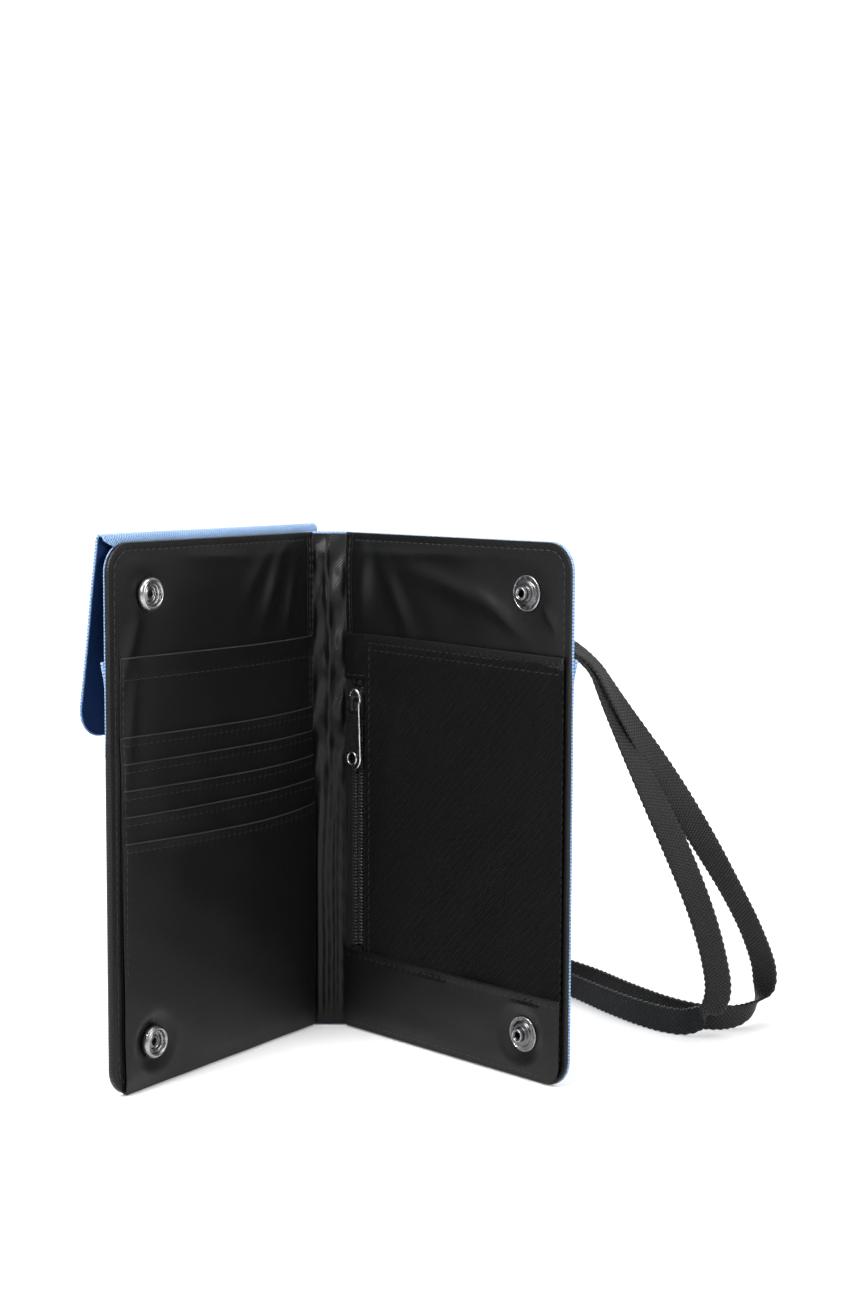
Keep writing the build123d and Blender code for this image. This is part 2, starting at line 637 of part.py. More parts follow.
# Hook and loop: one patch inside the flap, its partner on the pocket's face.
patch_middle = COVER_WIDTH / 2
patch_drop = FLAP_LENGTH - PATCH_FROM_FLAP_FOOT - PATCH_HEIGHT / 2
with BuildPart() as hook_patch:
    with BuildSketch(flap_plane):
        with Locations((patch_middle, -patch_drop)):
            RectangleRounded(PATCH_WIDTH, PATCH_HEIGHT, PATCH_CORNER)
    extrude(amount=-PATCH_CLOTH)
save(hook_patch, "flap_hook_patch")
patch_up = flap_fold_up - patch_drop * cos(radians(flap_tilt))
with BuildPart() as loop_patch:
    face_depth = cover_thickness + FRONT_POCKET_DEPTH + OUTER_POCKET_CLOTH
    with BuildSketch(layer("front", -face_depth)):
        with Locations((patch_middle, patch_up)):
            RectangleRounded(PATCH_WIDTH, PATCH_HEIGHT, PATCH_CORNER)
    extrude(amount=PATCH_CLOTH, dir=outward)
save(loop_patch, "front_pocket_loop_patch")

# Neck strap
strap_anchor = cloth(
    "back",
    (strap_exit - ANCHOR_LENGTH, strap_exit),
    (strap_height - STRAP_WIDTH / 2, strap_height + STRAP_WIDTH / 2),
    -cover_thickness - ANCHOR_THICKNESS,
    ANCHOR_THICKNESS,
)
save(strap_anchor, "strap_anchor")


def corner_radii(points):
    """Each corner's arc takes the same share of the shorter run beside it."""
    radii = []
    for before, at, after in zip(points, points[1:], points[2:]):
        arriving = Vector(at) - Vector(before)
        leaving = Vector(after) - Vector(at)
        half_turn = radians(arriving.get_angle(leaving) / 2)
        radii.append(ARC_SHARE * min(arriving.length, leaving.length) / tan(half_turn))
    return radii


def stretched(across, behind, up):
    """A drawn point of the route, moved to this cover. Points on the floor stay on it."""
    height = up if up == STRAP_FLOOR else up * strap_height / ROUTE_HEIGHT
    return (across * COVER_WIDTH / ROUTE_WIDTH, behind, height)


def webbing_run(points, end, name):
    """A round tube along straight runs joined by arcs."""
    start = point("back", strap_exit + STRAP_GAP, strap_height, -cover_thickness - STRAP_STAND_OFF)
    route = [tuple(start)] + [stretched(*place) for place in points] + [end]
    radii = corner_radii(route)
    with BuildPart() as run:
        with BuildLine() as path:
            FilletPolyline(*route, radius=radii)
        with BuildSketch(Plane(origin=path.wires()[0] @ 0, z_dir=path.wires()[0] % 0)):
            Circle(STRAP_WIDTH / 2)
        sweep()
    save(run, name)
    length = path.wires()[0].length
    section = pi * STRAP_WIDTH ** 2 / 4
    runs = [(Vector(b) - Vector(a)).length for a, b in zip(route, route[1:])]
    turns = [
        (Vector(b) - Vector(a)).get_angle(Vector(c) - Vector(b))
        for a, b, c in zip(route, route[1:], route[2:])
    ]
    print(name, "length", round(length, 1), "volume / (section x length)",
          round(run.part.volume / (section * length), 4))
    print("  radii", [round(r, 1) for r in radii])
    print("  runs", [round(r, 1) for r in runs])
    print("  turns", [round(t) for t in turns])


webbing_run(FRONT_RUN, FRONT_RUN_END, "strap_front_run")
webbing_run(REAR_RUN, REAR_RUN_END, "strap_rear_run")

# The rest of the loop is folded up behind the back cover and held by a tie round its waist.
with BuildPart() as strap_hank:
    with BuildSketch(Plane.XY.offset(HANK_LIFT)):
        with BuildLine():
            Polyline(*HANK_OUTLINE, close=True)
        make_face()
        fillet(vertices(), HANK_ROUNDING)
    extrude(amount=STRAP_WIDTH)
save(strap_hank, "strap_hank")
with BuildPart() as strap_tie:
    with BuildSketch(Plane.YZ.offset(TIE_ACROSS - TIE_WIDTH / 2)):
        waist_middle = (HANK_WAIST[0] + HANK_WAIST[1]) / 2
        waist = HANK_WAIST[1] - HANK_WAIST[0]
        with Locations((waist_middle, HANK_LIFT + STRAP_WIDTH / 2)):
            Rectangle(waist + 2 * HANK_LIFT, STRAP_WIDTH + 2 * HANK_LIFT)
            Rectangle(waist, STRAP_WIDTH, mode=Mode.SUBTRACT)
    extrude(amount=TIE_WIDTH)
save(strap_tie, "strap_tie")
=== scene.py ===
import json
import math
import bpy
import numpy as np
from mathutils import Matrix, Vector


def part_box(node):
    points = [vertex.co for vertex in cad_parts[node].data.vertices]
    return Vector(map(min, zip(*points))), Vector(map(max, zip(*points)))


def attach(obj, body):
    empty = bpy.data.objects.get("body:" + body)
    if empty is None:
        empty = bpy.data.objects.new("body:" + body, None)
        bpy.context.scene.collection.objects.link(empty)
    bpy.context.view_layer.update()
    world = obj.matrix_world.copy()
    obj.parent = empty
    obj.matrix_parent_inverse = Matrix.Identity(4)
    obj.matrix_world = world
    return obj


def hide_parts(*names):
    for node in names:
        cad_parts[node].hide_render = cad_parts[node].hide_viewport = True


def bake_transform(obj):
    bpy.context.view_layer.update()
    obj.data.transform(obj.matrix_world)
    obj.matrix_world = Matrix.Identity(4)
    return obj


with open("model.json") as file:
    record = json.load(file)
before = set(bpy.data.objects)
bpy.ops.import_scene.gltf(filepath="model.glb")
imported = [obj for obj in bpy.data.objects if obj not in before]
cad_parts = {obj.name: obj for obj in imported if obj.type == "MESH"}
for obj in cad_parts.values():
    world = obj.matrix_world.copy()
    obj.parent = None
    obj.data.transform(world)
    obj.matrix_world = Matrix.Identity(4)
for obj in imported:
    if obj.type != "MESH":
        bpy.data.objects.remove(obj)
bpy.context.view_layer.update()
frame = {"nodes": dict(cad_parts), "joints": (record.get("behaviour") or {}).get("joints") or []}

# ---------------------------------------------------------------------------------------------
# The table top, the lights and the camera. The holder stands open on a plain pale table, lit by a
# large soft window to the left, a soft front fill and a pale surround. The table also glows,
# faintly round the holder and more strongly away from it: a painted glow that leaves the table
# dimmer round the holder.
table = bpy.data.meshes.new("table_top")
reach = 12.0
table.from_pydata([(-reach, -reach, 0), (reach, -reach, 0), (reach, reach, 0), (-reach, reach, 0)],
                  [], [(0, 1, 2, 3)])
table_top = bpy.data.objects.new("table_top", table)
bpy.context.scene.collection.objects.link(table_top)
paint = bpy.data.materials.new("table_paint")
paint.use_nodes = True
surface = paint.node_tree.nodes["Principled BSDF"]
surface.inputs["Base Color"].default_value = (0.62, 0.62, 0.62, 1)
surface.inputs["Roughness"].default_value = 0.75
surface.inputs["Specular IOR Level"].default_value = 0.0
surface.inputs["Emission Color"].default_value = (1, 1, 1, 1)
# The table's emission rises with the distance from the holder: a painted glow, which leaves painted
# shade round the holder.
spot = paint.node_tree.nodes.new("ShaderNodeTexCoord")
far = paint.node_tree.nodes.new("ShaderNodeVectorMath")
far.operation = "LENGTH"
painted_floor_glow = paint.node_tree.nodes.new("ShaderNodeMapRange")
for label, value in (("From Min", 0.15), ("From Max", 0.9), ("To Min", 0.22), ("To Max", 0.85)):
    painted_floor_glow.inputs[label].default_value = value
paint.node_tree.links.new(spot.outputs["Object"], far.inputs[0])
paint.node_tree.links.new(far.outputs["Value"], painted_floor_glow.inputs["Value"])
paint.node_tree.links.new(painted_floor_glow.outputs["Result"], surface.inputs["Emission Strength"])
table.materials.append(paint)

surround = bpy.data.worlds.new("surround")
bpy.context.scene.world = surround
surround.use_nodes = True
background = surround.node_tree.nodes["Background"]
background.inputs["Color"].default_value = (1.0, 1.0, 1.0, 1)
# The surround is bright behind the holder and dim in front of it, as in a studio.
ray = surround.node_tree.nodes.new("ShaderNodeTexCoord")
toward = surround.node_tree.nodes.new("ShaderNodeVectorMath")
toward.operation = "DOT_PRODUCT"
toward.inputs[1].default_value = (-0.71, 0.70, 0.0)
fade = surround.node_tree.nodes.new("ShaderNodeMapRange")
fade.interpolation_type = "SMOOTHSTEP"
for label, value in (("From Min", 0.1), ("From Max", 0.75), ("To Min", 0.22), ("To Max", 1.05)):
    fade.inputs[label].default_value = value
surround.node_tree.links.new(ray.outputs["Generated"], toward.inputs[0])
surround.node_tree.links.new(toward.outputs["Value"], fade.inputs["Value"])
surround.node_tree.links.new(fade.outputs["Result"], background.inputs["Strength"])
bpy.context.scene.view_settings.view_transform = "Standard"


def soft_light(name, place, aim, size, power):
    """A square lamp at place, turned so that its face looks at aim."""
    lamp = bpy.data.lights.new(name, "AREA")
    lamp.shape = "RECTANGLE"
    lamp.size, lamp.size_y = size
    lamp.energy = power
    holder = bpy.data.objects.new(name, lamp)
    bpy.context.scene.collection.objects.link(holder)
    holder.location = place
    holder.rotation_euler = (Vector(aim) - Vector(place)).to_track_quat("-Z", "Y").to_euler()


middle = (0.03, -0.03, 0.09)
soft_light("window_light", (0.05, -0.85, 0.75), middle, (0.3, 0.3), 15.0)
soft_light("side_light", (0.95, 0.10, 0.50), middle, (0.3, 0.5), 8.0)
soft_light("top_light", (0.12, -0.16, 1.1), middle, (0.7, 0.7), 8.0)
soft_light("back_fill", (-0.6, 0.6, 0.6), middle, (0.6, 0.6), 5.0)

IMAGE_HEIGHT = 1290
FOCAL = 2100
camera_lens = bpy.data.cameras.new("view_lens")
camera_lens.sensor_width = 36.0
camera_lens.lens = FOCAL / IMAGE_HEIGHT * camera_lens.sensor_width
camera_lens.clip_start = 0.01
camera = bpy.data.objects.new("view", camera_lens)
bpy.context.scene.collection.objects.link(camera)
bpy.context.scene.camera = camera
camera.location = (0.5867, -0.5325, 0.225)
heading, pitch, roll = math.radians(135.5), math.radians(-5.60), math.radians(0.24)
gaze = Vector((math.cos(heading) * math.cos(pitch), math.sin(heading) * math.cos(pitch),
               math.sin(pitch)))
camera.rotation_euler = (gaze.to_track_quat("-Z", "Y").to_matrix()
                         @ Matrix.Rotation(roll, 3, "Z")).to_euler()

# ---------------------------------------------------------------------------------------------
# The neck strap: 10 mm flat black webbing, one loop whose two ends are sewn under an anchor
# patch behind the back cover. Two strands fall to the table, and the rest is folded up in a
# hank behind the back cover, with a tie round its waist.
MM = 0.001
UP = np.array([0.0, 0.0, 1.0])
anchor_low, anchor_high = (np.array(c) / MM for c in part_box("strap_anchor"))
exit_point = (anchor_high[0] + 1.5, (anchor_low[1] + anchor_high[1]) / 2 + 1.2,
              (anchor_low[2] + anchor_high[2]) / 2)
FRONT_STRAND = [
    (111.5, 9.6, 153), (113, 20, 133), (115, 44, 97), (115.5, 66, 62), (115, 79, 37),
    (112, 88.5, 14), (102, 84, 5), (88, 80, 5), (62, 84.5, 5), (34, 93, 5), (13.5, 95, 6),
]
REAR_STRAND = [
    (111.5, 10.4, 153.4), (114, 24, 134), (114.5, 58, 96), (115, 88, 60), (114.5, 105, 38),
    (112, 118, 17.5), (109, 110.8, 5), (104.5, 96, 5), (88, 92.5, 5), (60, 98.5, 5),
    (34, 107, 5), (13.5, 107.5, 6),
]
# The hank's lanes stand on edge side by side. The front strand turns inside the rear one.
HANK_FLOOR = 6.0
FRONT_HANK = [
    (-8, 96.5), (-28, 95), (-52, 94.2), (-74, 95.5), (-98, 105), (-118, 106), (-127, 98),
    (-127, 86), (-118, 78), (-98, 79), (-74, 88.5), (-52, 89.8), (-28, 89), (-10, 88),
    (4, 89.5), (9, 84),
]
REAR_HANK = [
    (-8, 106), (-28, 100.5), (-52, 98.6), (-74, 100), (-97, 113), (-120, 115.5), (-133, 106),
    (-133, 79), (-120, 68.5), (-97, 71), (-74, 84), (-52, 85.4), (-28, 83.5), (-12, 76),
    (0, 68.5), (9, 71),
]
front_route = [exit_point] + FRONT_STRAND + [(x, y, HANK_FLOOR) for x, y in FRONT_HANK]
rear_route = [exit_point] + REAR_STRAND + [(x, y, HANK_FLOOR) for x, y in REAR_HANK]
rear_route[0] = (exit_point[0], exit_point[1] + 1.6, exit_point[2])
strap_route = np.array(front_route + rear_route[::-1])


def nurbs_points(name, route, resolution):
    """Points read from the smooth curve that the route's points steer."""
    curve = bpy.data.curves.new(name, "CURVE")
    curve.dimensions = "3D"
    curve.resolution_u = resolution
    spline = curve.splines.new("NURBS")
    spline.points.add(len(route) - 1)
    spline.points.foreach_set("co", np.column_stack((route * MM, np.ones(len(route)))).ravel())
    spline.order_u = 3
    spline.use_endpoint_u = True
    holder = bpy.data.objects.new(name, curve)
    bpy.context.scene.collection.objects.link(holder)
    bpy.context.view_layer.update()
    line = bpy.data.meshes.new_from_object(holder)
    points = np.zeros(len(line.vertices) * 3)
    line.vertices.foreach_get("co", points)
    bpy.data.objects.remove(holder)
    bpy.data.meshes.remove(line)
    return points.reshape(-1, 3)


def unit(vectors):
    """Each vector divided by its length."""
    return vectors / np.maximum(np.linalg.norm(vectors, axis=-1, keepdims=True), 1e-12)


def even_steps(points, step):
    """The same line with points a fixed step apart, by its running length."""
    run = np.concatenate(([0], np.cumsum(np.linalg.norm(np.diff(points, axis=0), axis=1))))
    places = np.linspace(0, run[-1], int(run[-1] / step) + 1)
    return np.column_stack([np.interp(places, run, points[:, k]) for k in range(3)]), places


def make_piece(name, points, faces, finish, body, uv=None, smooth=True):
    """A mesh of points in metres, with an own UV map in millimetres, that rides on a body."""
    mesh = bpy.data.meshes.new(name)
    mesh.from_pydata(points.reshape(-1, 3), [], faces)
    if uv is not None:
        loops = np.zeros(len(mesh.loops), np.int32)
        mesh.loops.foreach_get("vertex_index", loops)
        mesh.uv_layers.new(name="cloth").data.foreach_set("uv", uv.reshape(-1, 2)[loops].ravel())
    mesh.polygons.foreach_set("use_smooth", np.full(len(mesh.polygons), smooth))
    mesh.materials.append(finish)
    piece = bpy.data.objects.new(name, mesh)
    bpy.context.scene.collection.objects.link(piece)
    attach(piece, body)
    return piece


def ring_faces(rings, sides, closed_ends=True):
    """Quads between rings of points that each run once round, with a fan over each end."""
    first = np.arange(rings - 1)[:, None] * sides + np.arange(sides)[None, :]
    after = np.arange(rings - 1)[:, None] * sides + (np.arange(sides)[None, :] + 1) % sides
    quads = np.stack((first, after, after + sides, first + sides), -1).reshape(-1, 4).tolist()
    if closed_ends:
        quads.append(list(range(sides))[::-1])
        quads.append(list(range((rings - 1) * sides, rings * sides)))
    return quads


def node_kit(material_name, roughness, sheen=0.0, metal=0.0, specular=0.5):
    """A new material, its nodes and links, and its shader with the even values set."""
    material = bpy.data.materials.new(material_name)
    material.use_nodes = True
    tree = material.node_tree
    shader = tree.nodes["Principled BSDF"]
    shader.inputs["Roughness"].default_value = roughness
    shader.inputs["Sheen Weight"].default_value = sheen
    shader.inputs["Sheen Roughness"].default_value = 0.45
    shader.inputs["Metallic"].default_value = metal
    shader.inputs["Specular IOR Level"].default_value = specular
    return material, tree, shader


def math_node(tree, operation, first, second=None):
    """One arithmetic node, fed by sockets or plain numbers."""
    node = tree.nodes.new("ShaderNodeMath")
    node.operation = operation
    for socket, value in zip(node.inputs, (first, second)):
        if value is None:
            continue
        if isinstance(value, (int, float)):
            socket.default_value = value
        else:
            tree.links.new(value, socket)
    return node.outputs[0]


def new_group(name, inputs, outputs):
    """An empty shader group with the named sockets, given as (name, kind, first value)."""
    group = bpy.data.node_groups.new(name, "ShaderNodeTree")
    for label, kind, value in inputs:
        socket = group.interface.new_socket(label, in_out="INPUT", socket_type=kind)
        if value is not None:
            socket.default_value = value
    for label, kind in outputs:
        group.interface.new_socket(label, in_out="OUTPUT", socket_type=kind)
    return group, group.nodes.new("NodeGroupInput"), group.nodes.new("NodeGroupOutput")


def cloth_shade_group():
    """Colour and roughness of cloth: broad drifts of tone from noise, and painted shade on the
    weave's low threads with a painted highlight on its high ones.
    """
    group, into, out = new_group(
        "cloth_shade",
        [("Dark", "NodeSocketColor", None), ("Pale", "NodeSocketColor", None),
         ("Weave Shade", "NodeSocketFloat", 0.5), ("Scale", "NodeSocketFloat", 60.0),
         ("Dull", "NodeSocketFloat", 0.6), ("Shiny", "NodeSocketFloat", 0.4)],
        [("Color", "NodeSocketColor"), ("Roughness", "NodeSocketFloat")])
    place = group.nodes.new("ShaderNodeTexCoord")
    drift = group.nodes.new("ShaderNodeTexNoise")
    drift.inputs["Detail"].default_value = 4.0
    group.links.new(place.outputs["Object"], drift.inputs["Vector"])
    group.links.new(into.outputs["Scale"], drift.inputs["Scale"])
    patch = math_node(group, "MULTIPLY", drift.outputs["Fac"], 0.25)
    # The weave's height darkens the low threads and lightens the high ones: painted shade and
    # painted highlight.
    thread = math_node(group, "MULTIPLY", into.outputs["Weave Shade"], 0.75)
    amount = math_node(group, "ADD", patch, thread)
    colour = group.nodes.new("ShaderNodeMix")
    colour.data_type = "RGBA"
    group.links.new(amount, colour.inputs["Factor"])
    group.links.new(into.outputs["Dark"], colour.inputs["A"])
    group.links.new(into.outputs["Pale"], colour.inputs["B"])
    group.links.new(colour.outputs["Result"], out.inputs["Color"])
    gloss = group.nodes.new("ShaderNodeMix")
    group.links.new(amount, gloss.inputs["Factor"])
    group.links.new(into.outputs["Dull"], gloss.inputs["A"])
    group.links.new(into.outputs["Shiny"], gloss.inputs["B"])
    group.links.new(gloss.outputs["Result"], out.inputs["Roughness"])
    return group


def weave_group():
    """Height of a weave from the piece's UV: waves along warp and weft, and a diagonal wave."""
    group, into, out = new_group(
        "weave",
        [("Warp Pitch", "NodeSocketFloat", 0.5), ("Weft Pitch", "NodeSocketFloat", 0.5),
         ("Diagonal Pitch", "NodeSocketFloat", 1.0), ("Diagonal", "NodeSocketFloat", 0.0)],
        [("Height", "NodeSocketFloat")])
    cloth = group.nodes.new("ShaderNodeUVMap")
    cloth.uv_map = "cloth"
    split = group.nodes.new("ShaderNodeSeparateXYZ")
    group.links.new(cloth.outputs["UV"], split.inputs["Vector"])
    turn = 2 * math.pi

    def wave(place, pitch):
        angle = math_node(group, "MULTIPLY", math_node(group, "DIVIDE", place, pitch), turn)
        return math_node(group, "SINE", angle)

    warp = wave(split.outputs["X"], into.outputs["Warp Pitch"])
    weft = wave(split.outputs["Y"], into.outputs["Weft Pitch"])
    plain = math_node(group, "MULTIPLY", warp, weft)
    slant = math_node(group, "SUBTRACT", split.outputs["X"], split.outputs["Y"])
    rib = wave(slant, into.outputs["Diagonal Pitch"])
    ribbed = math_node(group, "MULTIPLY", rib, into.outputs["Diagonal"])
    rest = math_node(group, "SUBTRACT", 1.0, into.outputs["Diagonal"])
    total = math_node(group, "ADD", math_node(group, "MULTIPLY", plain, rest), ribbed)
    height = math_node(group, "ADD", math_node(group, "MULTIPLY", total, 0.5), 0.5)
    group.links.new(height, out.inputs["Height"])
    return group


WEAVE = weave_group()
CLOTH_SHADE = cloth_shade_group()


def woven(name, dark, pale, pitches, diagonal, relief, rough, sheen, drift=60.0, specular=0.5):
    """Woven cloth: the weave's height makes a bump, paints shade on its low threads and a highlight
    on its high ones, and sets its gloss.
    """
    material, tree, shader = node_kit(name, rough[0], sheen, specular=specular)
    weave = tree.nodes.new("ShaderNodeGroup")
    weave.node_tree = WEAVE
    for label, value in zip(("Warp Pitch", "Weft Pitch", "Diagonal Pitch"), pitches):
        weave.inputs[label].default_value = value
    weave.inputs["Diagonal"].default_value = diagonal
    shade = tree.nodes.new("ShaderNodeGroup")
    shade.node_tree = CLOTH_SHADE
    shade.inputs["Dark"].default_value = (*dark, 1)
    shade.inputs["Pale"].default_value = (*pale, 1)
    shade.inputs["Scale"].default_value = drift
    shade.inputs["Dull"].default_value, shade.inputs["Shiny"].default_value = rough
    # The weave's height mixes Dark into Pale: painted shade on the low threads, painted highlight
    # on the high ones.
    tree.links.new(weave.outputs["Height"], shade.inputs["Weave Shade"])
    tree.links.new(shade.outputs["Color"], shader.inputs["Base Color"])
    tree.links.new(shade.outputs["Roughness"], shader.inputs["Roughness"])
    bump = tree.nodes.new("ShaderNodeBump")
    bump.inputs["Strength"].default_value = 0.8
    bump.inputs["Distance"].default_value = relief * MM
    tree.links.new(weave.outputs["Height"], bump.inputs["Height"])
    tree.links.new(bump.outputs["Normal"], shader.inputs["Normal"])
    return material


webbing = woven("black_webbing", (0.001, 0.001, 0.001), (0.026, 0.026, 0.027),
                (1.7, 1.5, 1.6), 0.0, 0.5, (0.6, 0.4), 0.0, 60.0, 0.16)

WEBBING_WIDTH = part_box("strap_hank")[1].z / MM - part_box("strap_hank")[0].z / MM
WEBBING_THICKNESS = 1.3
BAND_STEP = 0.5 * MM

strap_line, strap_run = even_steps(nurbs_points("strap_route", strap_route, 24), BAND_STEP)
strap_tangent = unit(np.gradient(strap_line, axis=0))

# Which way the webbing's width points at each of the route's points. The strands leave the
# cover edge up, twist as they fall, and stand on edge along the table and in the hank.
front_turn = [(-0.2, 0.8, 0.5), (-0.6, 0.8, 0.2), (-0.3, 0.95, 0.2), (0.3, 0.75, 0.4),
              (0.75, 0.62, 0.25), (0.85, 0.5, 0.1), (0.8, 0.5, 0.3), (0.35, 0.35, 0.85),
              (0.05, 0.2, 1), (0, 0.1, 1)]
rear_turn = [(-0.2, 0.8, 0.5), (-0.6, 0.8, 0.2), (-0.3, 0.95, 0.2), (0.45, 0.7, 0.35),
             (0.92, 0.35, 0.1), (0.95, 0.25, 0.1), (0.85, 0.1, 0.5), (0.3, 0.0, 0.95),
             (0.05, 0, 1), (0, 0, 1)]


def strand_width(turns, count):
    """The listed directions for the first points of a strand, and upright for the rest."""
    return np.array(turns + [(0, 0, 1)] * (count - len(turns)), float)


route_width = np.vstack((strand_width(front_turn, len(front_route)),
                         strand_width(rear_turn, len(rear_route))[::-1]))
corner_run = np.concatenate(([0], np.cumsum(np.linalg.norm(np.diff(strap_route, axis=0), axis=1))))
corner_run = corner_run / corner_run[-1] * strap_run[-1]
band_width = np.column_stack([np.interp(strap_run, corner_run, route_width[:, k])
                              for k in range(3)])
kernel = np.hanning(61)
kernel /= kernel.sum()
band_width = np.column_stack([np.convolve(np.pad(band_width[:, k], 30, "edge"), kernel, "valid")
                              for k in range(3)])
band_width -= (band_width * strap_tangent).sum(1, keepdims=True) * strap_tangent
band_width = unit(band_width)
band_face = np.cross(strap_tangent, band_width)


def webbing_band(line, run, width_way, face_way, width, thickness):
    """A flat band: each ring is a rounded oblong, with ribs across the faces and small waves
    of the selvedges, as sine waves of the running length."""
    steps = np.linspace(-1, 1, 15)
    half = np.sign(steps) * np.abs(steps) ** 0.9
    edge = np.sqrt(np.clip(1 - np.abs(half) ** 8, 0, 1))
    profile = np.vstack((np.column_stack((half, edge)), np.column_stack((half, -edge))[::-1][1:-1]))
    rib = np.sin(2 * np.pi * run / (2.2 * MM))[:, None]
    stagger = np.sin(2 * np.pi * profile[None, :, 0] * width / (2 * 1.5))
    selvedge = 1 + 0.035 * np.sin(2 * np.pi * run / (3.0 * MM))[:, None]
    across = profile[None, :, 0] * width / 2 * selvedge
    out = profile[None, :, 1] * thickness / 2 * (1 + 0.13 * rib * stagger)
    points = (line[:, None, :] + across[..., None] * MM * width_way[:, None, :]
              + out[..., None] * MM * face_way[:, None, :])
    uv = np.stack(np.broadcast_arrays(across, (run / MM)[:, None]), -1)
    return points, uv, len(profile)


points, uv, sides = webbing_band(strap_line, strap_run, band_width, band_face,
                                 WEBBING_WIDTH * 0.98, WEBBING_THICKNESS)
strap = make_piece("neck_strap", points, ring_faces(len(points), sides), webbing,
                   "back_cover", uv)
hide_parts("strap_front_run", "strap_rear_run", "strap_hank")
# The tie is a short band of the same webbing, closed round the hank's waist.
tie_low, tie_high = (np.array(c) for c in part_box("strap_tie"))
angles = np.linspace(0, 2 * np.pi, 97)[:-1]
tie_middle = (tie_low + tie_high) / 2
half_y, half_z = (tie_high - tie_low)[1:] / 2
squareness = 0.35


def rounded(value):
    """A sine or cosine drawn out towards square corners by a power below one."""
    return np.sign(value) * np.abs(value) ** squareness


tie_wall = 0.9 * MM
tie_rings = []
for inset, edge in ((0, -1), (0, 1), (tie_wall, 1), (tie_wall, -1)):
    tie_rings.append(np.column_stack((
        np.full(len(angles), tie_middle[0] + edge * (tie_high[0] - tie_low[0]) / 2),
        tie_middle[1] + (half_y - inset) * rounded(np.cos(angles)),
        tie_middle[2] + (half_z - inset) * rounded(np.sin(angles)))))
tie_points = np.stack(tie_rings, 1)
tie_uv = np.zeros((len(angles), 4, 2))
tie_uv[..., 0] = np.array([0, 8, 8.9, 16.9])
tie_uv[..., 1] = (angles * 9)[:, None]
tie_count = len(angles)
here = np.arange(tie_count)[:, None] * 4 + np.arange(4)[None, :]
beside = np.arange(tie_count)[:, None] * 4 + (np.arange(4)[None, :] + 1) % 4
onward = np.roll(here, -1, 0)
onward_beside = np.roll(beside, -1, 0)
tie_faces = np.stack((here, onward, onward_beside, beside), -1).reshape(-1, 4)
strap_tie = make_piece("strap_tie_band", tie_points, tie_faces, webbing, "back_cover",
                       tie_uv)
bevel = strap_tie.modifiers.new("worn_edge", "BEVEL")
bevel.width = 0.25 * MM
bevel.segments = 2
bevel.limit_method = "ANGLE"
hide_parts("strap_tie")


# ---------------------------------------------------------------------------------------------
# The two covers' canvas: light blue plain-weave cloth wrapped round a stiffening board, folded
# in along its edges, so each cover is a slim slab with soft round edges.
joints = {joint["name"]: joint for joint in frame["joints"]}
front_seam = np.array(joints["cover_fold"]["pos_m"]) / MM
front_along = -np.array(joints["flap_lift"]["axis"])
spine_along = unit(front_seam)


def quarter_turn(direction):
    """A level direction turned a quarter to the left."""
    return np.array([-direction[1], direction[0], 0.0])


# Each panel is its fold's foot, the way across it, and the way into the open holder.
PANELS = {
    "back": (np.zeros(3), np.array([1.0, 0, 0]), np.array([0, -1.0, 0])),
    "spine": (np.zeros(3), spine_along, quarter_turn(spine_along)),
    "front": (front_seam, front_along, quarter_turn(front_along)),
}
BODY = {"back": "back_cover", "spine": "spine", "front": "front_cover"}


def lay(side, across, up, depth):
    """Points in metres from a panel's across, up and depth in millimetres."""
    foot, along, inward = PANELS[side]
    across, up, depth = np.broadcast_arrays(across, up, depth)
    return (foot + across[..., None] * along + up[..., None] * UP
            + depth[..., None] * inward) * MM


def reading(side, node):
    """A CAD node's lowest and highest across, up and depth on a panel, in millimetres."""
    corners = np.zeros(len(frame["nodes"][node].data.vertices) * 3)
    frame["nodes"][node].data.vertices.foreach_get("co", corners)
    foot, along, inward = PANELS[side]
    from_foot = corners.reshape(-1, 3) / MM - foot
    laid = from_foot @ np.column_stack((along, UP, inward))
    return laid.min(0), laid.max(0)


def arc_inset(distance, radius):
    """How far a round corner draws an edge in, at a distance from the corner's end."""
    short = np.clip(radius - distance, 0, radius)
    return radius - np.sqrt(np.maximum(radius ** 2 - short ** 2, 0))


def cloth_grid(low, high, corners=(0, 0, 0, 0), step=1.0):
    """A grid of across and up over a rectangle whose corners, lower inner, lower outer, upper
    inner and upper outer, are round. Each row's ends follow the corner arcs."""
    width, height = high[0] - low[0], high[1] - low[1]
    rows = np.linspace(0, height, max(int(height / step), 4) + 1)
    bow = 1 - np.cos(np.linspace(0, np.pi / 2, 9))
    for k, radius in enumerate(corners):
        if radius:
            rows = np.append(rows, radius * bow if k < 2 else height - radius * bow)
    rows = np.unique(np.round(rows, 3))
    start = np.maximum(arc_inset(rows, corners[0]), arc_inset(height - rows, corners[2]))
    end = width - np.maximum(arc_inset(rows, corners[1]), arc_inset(height - rows, corners[3]))
    share = np.linspace(0, 1, max(int(width / step), 4) + 1)
    share = np.concatenate((share[:1], [share[1] * 0.35], share[1:-1],
                            [1 - share[1] * 0.35], share[-1:]))
    across = start[:, None] + share[None, :] * (end - start)[:, None]
    return low[0] + across, np.broadcast_to(low[1] + rows[:, None], across.shape)


